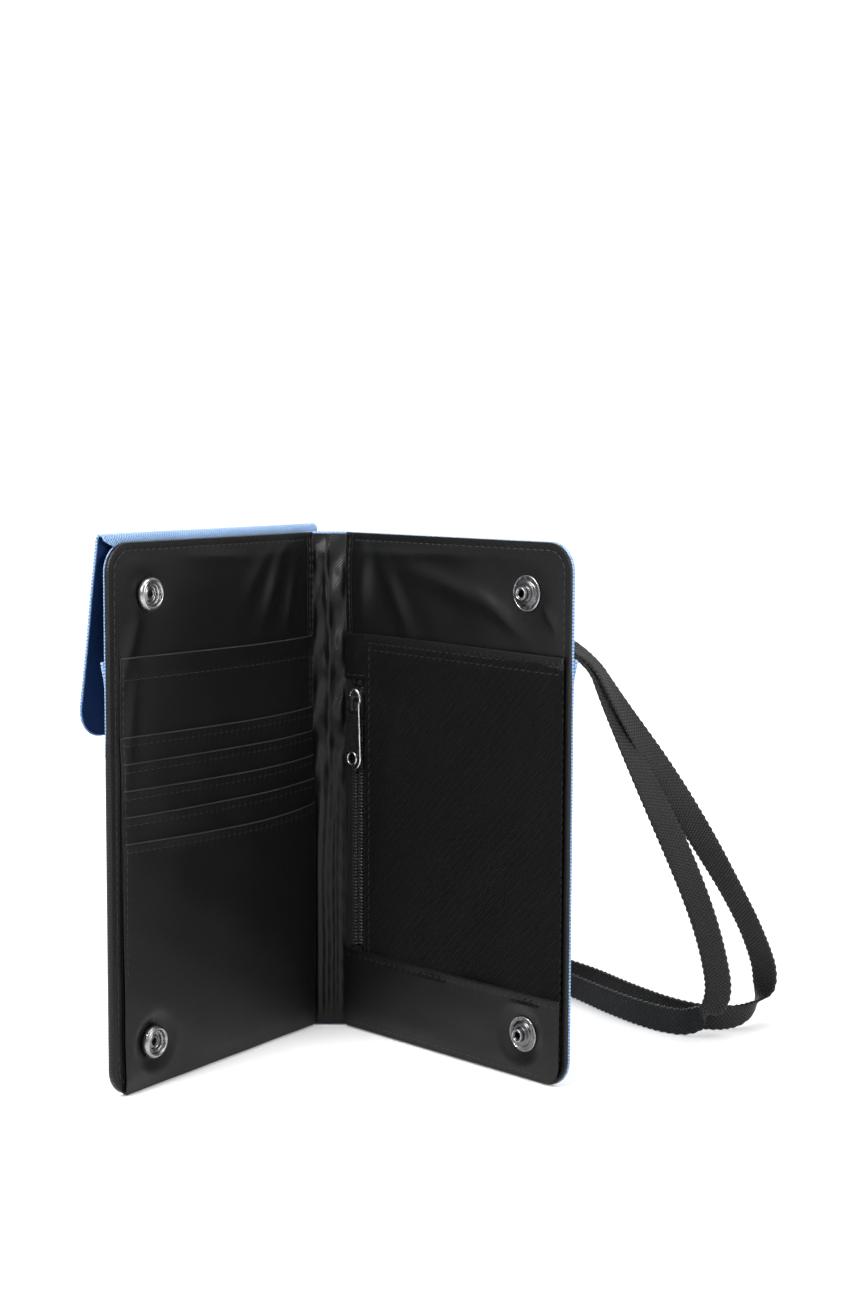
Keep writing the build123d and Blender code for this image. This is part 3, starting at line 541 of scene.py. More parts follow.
def closed_sheet(front, back, swell, rounds=3):
    """Two grids of points joined round their edges. The edge stands out as half a circle,
    swell times the sine of an angle, while it passes from the front to the back."""
    rows, columns = front.shape[:2]
    index = np.arange(rows * columns).reshape(rows, columns)
    loop = np.concatenate((index[0, :-1], index[:-1, -1], index[-1, :0:-1], index[:0:-1, 0]))
    face, rear = front.reshape(-1, 3)[loop], back.reshape(-1, 3)[loop]
    along = unit(np.roll(face, -1, 0) - np.roll(face, 1, 0))
    outward = np.cross(along, unit(face - rear))
    middle = face.mean(0)
    outward *= np.sign(np.einsum("ij,ij->", outward, face - middle))
    rings = []
    for k in range(1, rounds + 1):
        angle = np.pi * k / (rounds + 1)
        rings.append((face + rear) / 2 + (face - rear) / 2 * np.cos(angle)
                     + outward * swell * MM * np.sin(angle))
    points = np.vstack([front.reshape(-1, 3), back.reshape(-1, 3)] + rings)
    count, size = rows * columns, len(loop)
    quads = np.stack((index[:-1, :-1], index[:-1, 1:], index[1:, 1:], index[1:, :-1]), -1)
    quads = quads.reshape(-1, 4)
    faces = [quads, quads[:, ::-1] + count]
    bands = [loop] + [2 * count + k * size + np.arange(size) for k in range(rounds)]
    bands.append(loop + count)
    for first, second in zip(bands, bands[1:]):
        faces.append(np.stack((np.roll(first, -1), first, second, np.roll(second, -1)), -1))
    return points, np.vstack(faces), loop, rounds


def make_sheet(name, side, across, up, depth_front, depth_back, finish, swell,
               place=lay, body=None):
    """A closed piece of cloth on a panel, between two depths. Its UV is across and up."""
    front = place(side, across, up, depth_front)
    back = place(side, across, up, depth_back)
    points, faces, loop, rounds = closed_sheet(front, back, swell)
    flat = np.stack((across, up), -1).reshape(-1, 2)
    uv = np.vstack([flat, flat] + [flat[loop]] * rounds)
    if side != "back":
        faces = faces[:, ::-1]
    piece = make_piece(name, points, faces, finish, body or BODY[side], uv)
    return piece


def drift_waves(across, up, seed, reach, height):
    """Soft unevenness: five sine waves in seeded directions, about reach millimetres long."""
    chance = np.random.default_rng(seed)
    total = np.zeros(np.broadcast(across, up).shape)
    for wave in range(5):
        way, phase = chance.uniform(0, np.pi), chance.uniform(0, 2 * np.pi)
        length = reach * chance.uniform(0.6, 1.6)
        total += np.sin(2 * np.pi * (across * np.cos(way) + up * np.sin(way)) / length + phase)
    return total * height / 5


def crease(across, up, centre, slant, length, width, height):
    """A long low fold: a Gaussian ridge, slant degrees from the across direction."""
    turn = np.radians(slant)
    x, y = across - centre[0], up - centre[1]
    run = x * np.cos(turn) + y * np.sin(turn)
    off = -x * np.sin(turn) + y * np.cos(turn)
    return height * np.exp(-(run / length) ** 2 - (off / width) ** 2)


def eased(distance, reach):
    """Zero at an edge and one past reach, by a smooth cubic."""
    share = np.clip(distance / reach, 0, 1)
    return share * share * (3 - 2 * share)


def sewn(distance, along, sink=0.18, pitch=3.1):
    """A row of stitching draws cloth down in a groove, and puckers it beside the thread."""
    groove = -sink * np.exp(-(distance / 0.8) ** 2)
    pucker = 0.45 * sink * np.sin(2 * np.pi * along / pitch) * np.exp(-(distance / 2.2) ** 2)
    return groove + pucker


canvas = woven("blue_canvas", (0.045, 0.105, 0.22), (0.31, 0.45, 0.66),
               (1.2, 1.2, 1.2), 0.0, 0.30, (0.85, 0.7), 0.08, 45.0, 0.12)
blue_thread = woven("blue_thread", (0.10, 0.2, 0.4), (0.26, 0.42, 0.66),
                    (0.4, 0.4, 0.5), 0.8, 0.05, (0.6, 0.45), 0.2)
black_thread = woven("black_thread", (0.006, 0.006, 0.0065), (0.03, 0.03, 0.031),
                     (0.4, 0.4, 0.5), 0.8, 0.05, (0.5, 0.36), 0.0, 60.0, 0.35)


def run_of_stitches(line, normal, length, gap, thick):
    """Rounded threads along a line: each is five rings of six points that rise and fall as a
    parabola, length long with a gap between them."""
    run = np.concatenate(([0], np.cumsum(np.linalg.norm(np.diff(line, axis=0), axis=1)))) / MM
    count = max(int(run[-1] / (length + gap)), 1)
    share = np.linspace(-1, 1, 5)
    place = (np.arange(count)[:, None] + 0.5) * run[-1] / count + share[None, :] * length / 2

    def at(values):
        return np.stack([np.interp(place, run, values[:, k]) for k in range(3)], -1)

    middle, out = at(line), unit(at(normal))
    forward = unit(np.gradient(middle, axis=1))
    aside = np.cross(forward, out)
    lift = (0.30 * (1 - share ** 2) - 0.12) * thick * MM
    girth = thick / 2 * MM * np.sqrt(1 - 0.8 * share ** 2)
    turn = np.arange(6) * np.pi / 3
    rings = (middle + lift[None, :, None] * out)[:, :, None, :]
    rings = rings + girth[None, :, None, None] * (
        np.cos(turn)[None, None, :, None] * aside[:, :, None, :]
        + 0.8 * np.sin(turn)[None, None, :, None] * out[:, :, None, :])
    return rings.reshape(-1, 3), count


def make_stitches(name, runs, finish, body, length=2.3, gap=0.8, thick=0.42):
    """All the stitches on one body as one piece, from lines in metres and their normals."""
    clouds, total = [], 0
    for line, normal in runs:
        cloud, count = run_of_stitches(line, normal, length, gap, thick)
        clouds.append(cloud)
        total += count
    one = np.array(ring_faces(5, 6, closed_ends=False))
    offsets = np.arange(total)[:, None, None] * 30
    faces = (one[None] + offsets).reshape(-1, 4).tolist()
    caps = np.array([[5, 4, 3, 2, 1, 0], [24, 25, 26, 27, 28, 29]])
    faces += (caps[None] + offsets).reshape(-1, 6).tolist()
    points = np.vstack(clouds)
    uv = np.stack((points[:, 0] + points[:, 1], points[:, 2]), -1) / MM
    return make_piece(name, points, faces, finish, body, uv)


def seam_line(side, path, depth, place=lay):
    """A seam on a panel as a line and its normals, through across and up points, a quarter of
    a millimetre apart. Depth is a number or a relief function of across and up."""
    path = np.array(path, float)
    run = np.concatenate(([0], np.cumsum(np.linalg.norm(np.diff(path, axis=0), axis=1))))
    steps = np.linspace(0, run[-1], int(run[-1] * 2) + 2)
    across, up = np.interp(steps, run, path[:, 0]), np.interp(steps, run, path[:, 1])
    height = depth(across, up) if callable(depth) else np.full(len(across), float(depth))
    sign = 1.0 if (height.mean() > -0.9) else -1.0
    normal = np.broadcast_to(PANELS[side][2] * sign, (len(across), 3))
    return place(side, across, up, height), normal


def edge_path(low, high, corners, inset):
    """A path round a rectangle, inset from its edge, with its corners as arcs."""
    x0, y0, x1, y1 = low[0] + inset, low[1] + inset, high[0] - inset, high[1] - inset
    path = []
    spots = ((x0, y0, corners[0], 180), (x1, y0, corners[1], 270),
             (x1, y1, corners[3], 0), (x0, y1, corners[2], 90))
    for x, y, radius, turn in spots:
        radius = max(radius - inset, 0)
        centre = (x + radius * (1 if x == x0 else -1), y + radius * (1 if y == y0 else -1))
        for angle in np.radians(turn + np.linspace(0, 90, 7 if radius else 1)):
            path.append((centre[0] + radius * np.cos(angle), centre[1] + radius * np.sin(angle)))
    return path + path[:1]


def board_edge(across, up, low, high, corner=0.0):
    """Distance from the nearest edge of a rectangle, by the arc at its two outer corners."""
    flat = np.minimum(np.minimum(across - low[0], high[0] - across),
                      np.minimum(up - low[1], high[1] - up))
    past_across = across - (high[0] - corner)
    past_up = np.abs(up - (low[1] + high[1]) / 2) - ((high[1] - low[1]) / 2 - corner)
    in_corner = (past_across > 0) & (past_up > 0)
    return np.where(in_corner, corner - np.hypot(past_across, past_up), flat)


CORNER = 10.0
# How much of the edge's thickness the lining's turned hem hides. On the front cover it hides
# nearly all of it below the flap.
RIM_SHARE = {"back": lambda up: 0.38 - 0.14 * eased(up - 140.0, 14.0),
             "front": lambda up: 0.9 - 0.28 * eased(up - 112.0, 18.0)}
cover = {side: reading(side, side + "_cover_canvas") for side in ("front", "back")}
for side, (low, high) in cover.items():
    low, high = low.copy(), high.copy()
    low[0] = 0.0
    corners = (0, CORNER, 0, CORNER)
    across, up = cloth_grid(low, high, corners, 1.4)
    rim = board_edge(across, up, (low[0] - 20, low[1]), high, CORNER)
    slack = eased(rim, 9) * (0.12 + drift_waves(across, up, 3, 46, 0.16))
    slack += sewn(rim - 3.2, across + up, 0.10)
    under = RIM_SHARE[side](up) * (1 - eased(rim, 3.0)) * eased(across, 4.0)
    outer = make_sheet(side + "_canvas", side, across, up, high[2] + low[2] * under,
                       low[2] - slack + 0.02, canvas, 0.22)
    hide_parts(side + "_cover_canvas")
    path = edge_path(low, high, corners, 3.2)
    make_stitches(side + "_canvas_stitching", [seam_line(side, path, low[2] - 0.08)],
                  blue_thread, BODY[side])

# ---------------------------------------------------------------------------------------------
# The stiffening boards lie inside the covers, cut from white greyboard.
greyboard, board_tree, board_shader = node_kit("greyboard", 0.9)
fibre = board_tree.nodes.new("ShaderNodeTexNoise")
fibre.inputs["Scale"].default_value = 900
board_place = board_tree.nodes.new("ShaderNodeTexCoord")
board_ramp = board_tree.nodes.new("ShaderNodeValToRGB")
board_ramp.color_ramp.elements[0].color = (0.45, 0.44, 0.41, 1)
board_ramp.color_ramp.elements[1].color = (0.72, 0.71, 0.67, 1)
board_tree.links.new(board_place.outputs["Object"], fibre.inputs["Vector"])
board_tree.links.new(fibre.outputs["Fac"], board_ramp.inputs["Fac"])
board_tree.links.new(board_ramp.outputs["Color"], board_shader.inputs["Base Color"])


def repaint(node, finish):
    """Gives a CAD node another finish."""
    slots = frame["nodes"][node].data.materials
    slots.clear()
    slots.append(finish)


for side in ("front", "back"):
    repaint(side + "_cover_board", greyboard)

# ---------------------------------------------------------------------------------------------
# The linings: thin black satin-faced cloth sewn on 3 mm inside the covers' edges. It lies a
# little loose, so it ripples, and it is drawn into soft folds beside the spine.
lining_cloth = woven("black_lining", (0.0006, 0.0006, 0.0006), (0.0055, 0.0055, 0.0056),
                     (0.6, 0.6, 1.2), 0.8, 0.12, (0.42, 0.30), 0.0, 70.0, 0.25)
SNAP_SPOTS = {}
for side, kind in (("front", "snap_socket"), ("back", "snap_stud")):
    for level in ("upper", "lower"):
        low, high = reading(side, f"{kind}_{level}")
        SNAP_SPOTS[side, level] = ((low + high) / 2)[:2]


def clear_of_snaps(side, across, up):
    """Zero at a snap and one a finger's width away."""
    share = 1.0
    for level in ("upper", "lower"):
        spot = SNAP_SPOTS[side, level]
        share = share * eased(np.hypot(across - spot[0], up - spot[1]) - 5.0, 7.0)
    return share


def lining_relief(side, across, up):
    """How far a cover's lining stands off its board, in millimetres."""
    low, high = cover[side]
    rim = board_edge(across, up, (low[0] - 6, low[1]), high)
    if side == "front":
        folds = (crease(across, up, (25, 171), 112, 14, 3.4, 1.5)
                 + crease(across, up, (14, 166), 104, 12, 2.6, 1.0)
                 + crease(across, up, (34, 176), 128, 11, 3.2, 0.8)
                 + crease(across, up, (102, 156), 112, 12, 3.0, 0.9)
                 + crease(across, up, (60, 184), 4, 22, 2.4, 0.4)
                 + crease(across, up, (103, 128), 98, 20, 2.6, 0.5))
    else:
        folds = (crease(across, up, (10, 172), 84, 15, 4.2, 1.9)
                 + crease(across, up, (27, 167), 118, 15, 3.8, 1.5)
                 + crease(across, up, (60, 171), -14, 24, 4.0, 1.5)
                 + crease(across, up, (82, 163), -34, 13, 2.8, 0.9)
                 + crease(across, up, (104, 164), -52, 7, 1.8, 0.7)
                 + crease(across, up, (50, 184), 2, 34, 2.6, 0.6))
    waves = drift_waves(across, up, 11 if side == "front" else 12, 30, 0.40) + 0.34
    return (folds + waves) * eased(rim, 8) * clear_of_snaps(side, across, up)


for side in ("front", "back"):
    low, high = reading(side, side + "_cover_lining")
    low[0] = 0.0
    high[0] += 0.4
    low[1] -= 0.4
    high[1] += 0.4
    corners = (0, CORNER - 0.2, 0, CORNER - 0.2)
    across, up = cloth_grid(low, high, corners, 0.9)
    rim = board_edge(across, up, (low[0] - 20, low[1]), high, CORNER)
    relief = lining_relief(side, across, up) + sewn(rim - 2.6, across + up)
    hem = 0.18 * eased(4.2 - rim, 0.8)
    turned = RIM_SHARE[side](up) * (1 - eased(rim, 3.0)) * eased(across, 4.0)
    lining = make_sheet(side + "_lining", side, across, up, high[2] + relief + hem,
                        low[2] - 0.1 + cover[side][0][2] * turned, lining_cloth, 0.30)
    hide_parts(side + "_cover_lining")
    path = edge_path((low[0] - 20, low[1]), high, corners, 2.6)
    path = [spot for spot in path[1:-1] if spot[0] > 0.5]
    path = [(1.0, low[1] + 2.6)] + path + [(1.0, high[1] - 2.6)]
    make_stitches(side + "_lining_stitching",
                  [seam_line(side, path, lambda a, u: lining_relief(side, a, u) + 0.04)],
                  black_thread, BODY[side])

# ---------------------------------------------------------------------------------------------
# The spine: canvas outside and lining inside with no board between them. Each half of it
# turns over its own fold line on to a cover, where it is sewn down.
SPINE_WIDTH = np.linalg.norm(front_seam)
TURN_ON = 3.6
BEND = 1.6


def over_fold(side, across, up, depth):
    """Points of a strip that starts at the spine's middle and runs over a fold line on to a
    cover. Across is from the fold line. The two planes blend by a smooth cubic at the fold."""
    foot, along, inward = PANELS[side]
    towards = PANELS["spine"][1] * (1 if side == "back" else -1)
    across, up, depth = np.broadcast_arrays(across, up, depth)
    share = eased(across + BEND, 2 * BEND)[..., None]
    flat = foot + (1 - share) * (-across[..., None] * towards) + share * (across[..., None] * along)
    out = unit((1 - share) * PANELS["spine"][2] + share * inward)
    return (flat + up[..., None] * UP + depth[..., None] * out) * MM


def spine_relief(from_back, up):
    """Loose spine lining: sharp upright folds below and broad slanting ones above, pinned at
    both seams."""
    wander = 0.8 * np.sin(up / 27) + 0.3 * np.sin(up / 9 + 1)
    low_share = 1 - eased(up - 70, 50)
    ridge = np.exp(-((from_back - 7.4 - wander) / 1.3) ** 2) * (1.0 + 0.3 * np.sin(up / 31 + 2))
    second = 0.9 * np.exp(-((from_back - 4.1 - 0.4 * wander) / 0.6) ** 2) * low_share
    third = 0.8 * np.exp(-((from_back - 10.4 - 0.6 * wander) / 0.7) ** 2) * low_share
    slant = 0.75 * (1 - low_share) * np.sin(2 * np.pi * (up + 1.6 * from_back) / 24.0)
    fine = 0.12 * np.sin(2 * np.pi * (up - 1.2 * from_back) / 9.0)
    pinned = eased(from_back, 2.4) * eased(SPINE_WIDTH - from_back, 2.4)
    ends = eased(up, 9) * eased(190 - up, 9)
    return (ridge + second + third + slant + fine + 0.5) * pinned * ends


spine_low, spine_high = reading("spine", "spine_lining")
canvas_low, canvas_high = reading("spine", "spine_canvas")
for side in ("front", "back"):
    low = np.array([-SPINE_WIDTH / 2, spine_low[1], 0])
    high = np.array([TURN_ON, spine_high[1], 0])
    across, up = cloth_grid(low, high, step=0.6)
    from_back = -across if side == "back" else SPINE_WIDTH + across
    tail_share = eased(across, 1.2)
    seams = (2.4, ) if side == "back" else (0.9, 2.4)
    relief = spine_relief(from_back, up) + 0.38 * tail_share
    relief += lining_relief(side, np.maximum(across, 0), up) * tail_share
    for seam in seams:
        relief += sewn(across - seam, up, 0.14)
    strip = make_sheet("spine_lining_" + side, side, across, up, relief, relief - 0.3,
                       lining_cloth, 0.12, over_fold)
    strip.parent = None
    foot, along, inward = PANELS[side]
    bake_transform(strip)
    if side == "back":
        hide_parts("spine_lining")
    low[1], high[1] = canvas_low[1], canvas_high[1]
    across, up = cloth_grid(low, high, step=0.8)
    drop = canvas_low[2] - 0.95 * eased(across + 1.0, 3.0)
    drop = drop - sewn(across - 2.0, up, 0.12)
    outside = make_sheet("spine_canvas_" + side, side, across, up, drop + 0.6, drop, canvas,
                         0.2, over_fold)
    outside.parent = None
    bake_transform(outside)
    if side == "back":
        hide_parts("spine_canvas")
    runs = []
    for seam in seams:
        path = [(seam, spine_low[1] + 1.5), (seam, spine_high[1] - 1.5)]
        runs.append(seam_line(side, path, lambda a, u: 0.42 + lining_relief(side, a, u)))
    outer_path = [(2.0, canvas_low[1] + 1.5), (2.0, canvas_high[1] - 1.5)]
    make_stitches(f"spine_{side}_stitching", runs, black_thread, BODY[side])
    make_stitches(f"spine_{side}_outer_stitching",
                  [seam_line(side, outer_path, canvas_low[2] - 1.0)],
                  blue_thread, BODY[side])

# ---------------------------------------------------------------------------------------------
# The passport pocket and the five card slots: lining cloth with a turned hem along each mouth,
# one in front of the other, sewn in along the sides and the foot.
slots = ["passport_pocket"] + [f"card_slot_{k}" for k in range(1, 6)]
slot_sag = (0.8, 1.2, 1.1, 1.7, 1.5, 2.6)
slot_hem = (7.4, 2.8, 2.8, 2.8, 2.8, 2.8)


def mouth_gape(across, width):
    """A mouth's edge stands off most halfway between its sewn ends."""
    return 0.55 * np.sin(np.pi * np.clip(across / width, 0, 0.999)) ** 0.7


def mouth_drop(across, width, sag):
    """A mouth's edge hangs between its sewn ends, lowest nearer the spine."""
    return sag * np.sin(np.pi * np.clip(across / width, 0, 1) ** 0.62)


# A paler copy of the lining cloth for the beads along the mouths' folded edges: a painted highlight
# where the folds catch the light.
fold_highlight_cloth = woven("lining_fold_highlight", (0.012, 0.012, 0.0122), (0.045, 0.045, 0.046),
                   (0.6, 0.6, 1.2), 0.8, 0.09, (0.5, 0.36), 0.0, 70.0, 0.3)


def round_bead(name, line, radius, finish, body):
    """A round bead along an open line of points in metres."""
    tangent = unit(np.gradient(line, axis=0))
    side_way = unit(np.cross(tangent, UP))
    over = np.cross(side_way, tangent)
    turn = np.arange(8) * np.pi / 4
    rings = line[:, None, :] + radius * MM * (np.cos(turn)[None, :, None] * side_way[:, None, :]
                                              + np.sin(turn)[None, :, None] * over[:, None, :])
    along = np.broadcast_to(np.arange(len(line))[:, None] * 0.8, (len(line), 8))
    uv = np.stack((along, np.broadcast_to(turn * radius, along.shape)), -1)
    return make_piece(name, rings, ring_faces(len(line), 8), finish, body, uv)


slot_runs = []
for name, sag, hem_depth in zip(slots, slot_sag, slot_hem):
    low, high = reading("front", name)
    low[0] = 0.6
    low[1] = max(low[1], 1.0)
    across, up = cloth_grid(low, high, step=0.8)
    share = (up - low[1]) / (high[1] - low[1])
    hang = mouth_drop(across, high[0], sag)
    settled = up - hang * share ** 2
    from_mouth = high[1] - up
    gape = mouth_gape(across, high[0]) * np.exp(-from_mouth / 2.2)
    hem = 0.16 * eased(hem_depth + 1.2 - from_mouth, 0.9)
    relief = lining_relief("front", across, settled) + gape + hem
    relief += sewn(from_mouth - hem_depth, across, 0.16)
    relief += 0.12 * np.exp(-from_mouth / 6) * np.sin(across / 3.7 + 2 * sag)
    below = (1 - eased((up - low[1]), 14)) if name == "card_slot_5" else 0
    relief += 0.10 * below * np.sin(across / 5.3)
    lip = gape + hem
    # The lower socket clamps the cloth down to the cover.
    pressed = (1 - clear_of_snaps("front", across, settled)) * (high[2] - 0.04)
    pocket = make_sheet(name + "_cloth", "front", across, settled, high[2] + relief - pressed,
                        low[2] + relief - lip - pressed, lining_cloth, 0.30)
    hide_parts(name)
    # A bead of the paler cloth along each mouth's edge: a painted highlight on the fold.
    edge = np.linspace(1.4, high[0] - 0.4, 140)
    edge_up = high[1] - mouth_drop(edge, high[0], sag) + 0.1
    edge_depth = high[2] + lining_relief("front", edge, edge_up) + mouth_gape(edge, high[0]) + 0.1
    round_bead(name + "_fold", lay("front", edge, edge_up, edge_depth), 0.24, fold_highlight_cloth,
               "front_cover")
    spots = np.linspace(1.5, high[0] - 1.0, 60)
    line = [(a, high[1] - hem_depth - mouth_drop(a, high[0], sag)) for a in spots]
    top = high[2]
    slot_runs.append(seam_line("front", line,
                               lambda a, u: lining_relief("front", a, u) + top + 0.16))
    slot_runs.append(seam_line("front", [(high[0] - 1.2, max(low[1], high[1] - 46)),
                                         (high[0] - 1.2, high[1] - 0.5)],
                               lambda a, u: lining_relief("front", a, u) + top + 0.05))
make_stitches("card_slot_stitching", slot_runs, black_thread, "front_cover", thick=0.36)

# ---------------------------------------------------------------------------------------------
# The zip pocket: a coarse black twill panel over the back cover's lining, with a ribbed binding
# along its top, a lining strip across its foot and a patch that hides the zip's upper end.
twill = woven("black_twill", (0.0002, 0.0002, 0.0002), (0.0075, 0.0075, 0.0077),
              (0.8, 0.8, 1.3), 0.8, 0.9, (0.5, 0.30), 0.0, 55.0, 0.09)


def zip_side_relief(across, up):
    """The zip pocket's cloth stands off in shallow hollows, flat at its sewn edges."""
    low, high = reading("back", "zip_pocket_panel")
    rim = np.minimum(across - low[0], high[0] - across)
    folds = (crease(across, up, (46, 60), 58, 26, 8, 1.4)
             + crease(across, up, (72, 62), 50, 22, 7, 1.2)
             + crease(across, up, (92, 110), 66, 30, 8, 1.0)
             + crease(across, up, (28, 100), 80, 34, 7, 1.2))
    return (0.3 + folds + drift_waves(across, up, 21, 34, 0.4)) * eased(rim, 12)


low, high = reading("back", "zip_pocket_panel")
across, up = cloth_grid(low, high, step=0.9)
relief = zip_side_relief(across, up) + sewn(across - low[0] - 2.1, up, 0.2)
relief += 0.22 * eased(3.4 - (across - low[0]), 0.9)
panel = make_sheet("zip_pocket_twill", "back", across, up, high[2] + relief, low[2] + relief,
                   twill, 0.25)
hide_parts("zip_pocket_panel")
panel_top = high[2]
zip_runs = [seam_line("back", [(low[0] + 2.1, low[1] + 4), (low[0] + 2.1, high[1])],
                      lambda a, u: panel_top + 0.18 + zip_side_relief(a, u))]

low, high = reading("back", "zip_pocket_binding")
binding_top, binding_low, binding_high = high[2], low.copy(), high.copy()


def binding_lean(a):
    """How far the binding has dropped at a place across."""
    return 1.6 * ((a - binding_low[0]) / (binding_high[0] - binding_low[0])) ** 1.2


across, up = cloth_grid(low, high, step=0.45)
ribs = 0.20 * np.sin(2 * np.pi * (across + 0.5 * up) / 1.5)
band = (up - low[1]) / (high[1] - low[1])
relief = 0.35 * np.sin(np.pi * band) + ribs * np.sin(np.pi * band)
relief += sewn(up - low[1] - 1.0, across, 0.2)
binding = make_sheet("zip_pocket_binding_tape", "back", across, up - binding_lean(across),
                     high[2] + relief - 0.1, low[2], lining_cloth, 0.3)
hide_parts("zip_pocket_binding")

spots = np.linspace(binding_low[0] + 1, binding_high[0] - 1, 50)
for rise in (1.0, -1.6):
    zip_runs.append(seam_line(
        "back", [(a, binding_low[1] + rise - binding_lean(a)) for a in spots],
        binding_top + 0.02 if rise > 0 else
        (lambda a, u: panel_top + 0.05 + zip_side_relief(a, u))))

low, high = reading("back", "zip_pocket_foot_strip")
across, up = cloth_grid(low, high, (0, CORNER - 3, 0, 0), 0.9)
from_top = high[1] - up
relief = 0.18 * eased(3.4 - from_top, 0.8) + sewn(from_top - 2.4, across, 0.18)
relief += (0.25 + drift_waves(across, up, 31, 24, 0.26)) * eased(
    board_edge(across, up, low, (high[0], high[1] + 20)), 7) * clear_of_snaps("back", across, up)
# The lower stud clamps the cloth down to the cover.
pressed = (1 - clear_of_snaps("back", across, up)) * (high[2] - 0.08)
strip = make_sheet("zip_pocket_foot_cloth", "back", across, up, high[2] + relief - pressed,
                   low[2] - pressed, lining_cloth, 0.12)
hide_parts("zip_pocket_foot_strip")
foot_top = high[2]
zip_runs.append(seam_line("back", [(low[0] + 1, high[1] - 2.4), (high[0] - 1, high[1] - 2.4)],
                          foot_top + 0.22))
zip_runs.append(seam_line("back", [(low[0] + 2, 3.0), (high[0] - 8, 3.0)], foot_top + 0.08))

low, high = reading("back", "zip_garage")
low[0] = 0.6
across, up = cloth_grid(low, high, step=0.6)
relief = (0.5 * crease(across, up, (6, 145), 70, 6, 2, 1) + drift_waves(across, up, 8, 7, 0.25)
          + 0.2 * eased(2.2 - (up - low[1]), 0.8) + 0.2 * eased(2.0 - (high[1] - up), 0.8))
garage = make_sheet("zip_garage_cloth", "back", across, up, high[2] + relief, low[2],
                    lining_cloth, 0.15)
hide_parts("zip_garage")
zip_runs.append(seam_line("back", [(1.4, low[1] + 1.6), (high[0] - 0.4, low[1] + 1.6)],
                          high[2] + 0.25))
make_stitches("zip_pocket_stitching", zip_runs, black_thread, "back_cover", thick=0.36)

# ---------------------------------------------------------------------------------------------
# The zip: two woven tapes, a black nylon coil along each, and dark nickel stops at the ends.
tape_cloth = woven("zip_tape_weave", (0.002, 0.002, 0.0022), (0.014, 0.014, 0.0145),
                   (0.6, 0.8, 0.9), 0.85, 0.12, (0.62, 0.45), 0.0, 60.0, 0.25)
nylon, _, nylon_shader = node_kit("black_nylon", 0.32)
nylon_shader.inputs["Base Color"].default_value = (0.022, 0.022, 0.023, 1)


def wear_group():
    """Patches of wear on metal: two scales of noise on Object coordinates, made a mask."""
    group, into, out = new_group(
        "metal_wear", [("Scale", "NodeSocketFloat", 300.0), ("Clean", "NodeSocketColor", None),
                       ("Worn", "NodeSocketColor", None), ("Smooth", "NodeSocketFloat", 0.2),
                       ("Rough", "NodeSocketFloat", 0.45)],
        [("Color", "NodeSocketColor"), ("Roughness", "NodeSocketFloat"),
         ("Height", "NodeSocketFloat")])
    place = group.nodes.new("ShaderNodeTexCoord")
    noise = group.nodes.new("ShaderNodeTexNoise")
    noise.inputs["Detail"].default_value = 6.0
    group.links.new(place.outputs["Object"], noise.inputs["Vector"])
    group.links.new(into.outputs["Scale"], noise.inputs["Scale"])
    mask = group.nodes.new("ShaderNodeMapRange")
    mask.inputs["From Min"].default_value = 0.38
    mask.inputs["From Max"].default_value = 0.66
    group.links.new(noise.outputs["Fac"], mask.inputs["Value"])
    colour = group.nodes.new("ShaderNodeMix")
    colour.data_type = "RGBA"
    group.links.new(mask.outputs["Result"], colour.inputs["Factor"])
    group.links.new(into.outputs["Clean"], colour.inputs["A"])
    group.links.new(into.outputs["Worn"], colour.inputs["B"])
    gloss = group.nodes.new("ShaderNodeMix")
    group.links.new(mask.outputs["Result"], gloss.inputs["Factor"])
    group.links.new(into.outputs["Smooth"], gloss.inputs["A"])
    group.links.new(into.outputs["Rough"], gloss.inputs["B"])
    group.links.new(colour.outputs["Result"], out.inputs["Color"])
    group.links.new(gloss.outputs["Result"], out.inputs["Roughness"])
    group.links.new(noise.outputs["Fac"], out.inputs["Height"])
    return group


METAL_WEAR = wear_group()


def plated(name, clean, worn, smooth, rough, scale):
    """Plated metal with patches of wear."""
    material, tree, shader = node_kit(name, smooth, metal=1.0)
    wear = tree.nodes.new("ShaderNodeGroup")
    wear.node_tree = METAL_WEAR
    wear.inputs["Scale"].default_value = scale
    wear.inputs["Clean"].default_value = (*clean, 1)
    wear.inputs["Worn"].default_value = (*worn, 1)
    wear.inputs["Smooth"].default_value = smooth
    wear.inputs["Rough"].default_value = rough
    tree.links.new(wear.outputs["Color"], shader.inputs["Base Color"])
    tree.links.new(wear.outputs["Roughness"], shader.inputs["Roughness"])
    bump = tree.nodes.new("ShaderNodeBump")
    bump.inputs["Strength"].default_value = 0.12
    bump.inputs["Distance"].default_value = 0.03 * MM
    tree.links.new(wear.outputs["Height"], bump.inputs["Height"])
    tree.links.new(bump.outputs["Normal"], shader.inputs["Normal"])
    return material


dark_nickel = plated("dark_nickel", (0.17, 0.17, 0.175), (0.10, 0.10, 0.105), 0.26, 0.40, 260)
plain_nickel = plated("plain_nickel", (0.40, 0.40, 0.405), (0.26, 0.26, 0.265), 0.24, 0.38, 260)
# A brighter copy of the nickel for beads along rims: painted highlights, with patches of wear.
painted_highlight_nickel = plated("painted_highlight_nickel", (0.72, 0.72, 0.73), (0.55, 0.55, 0.56), 0.22, 0.34, 260)

for name in ("zip_tape_spine_side", "zip_tape_panel_side"):
    low, high = reading("back", name)
    across, up = cloth_grid(low, high, step=0.7)
    relief = 0.05 * np.sin(2 * np.pi * across / 1.6)
    tape = make_sheet(name + "_weave", "back", across, up, high[2] + relief, low[2],
                      tape_cloth, 0.12)
    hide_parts(name)

COIL_PITCH = 1.25
COIL_WIRE = 0.36


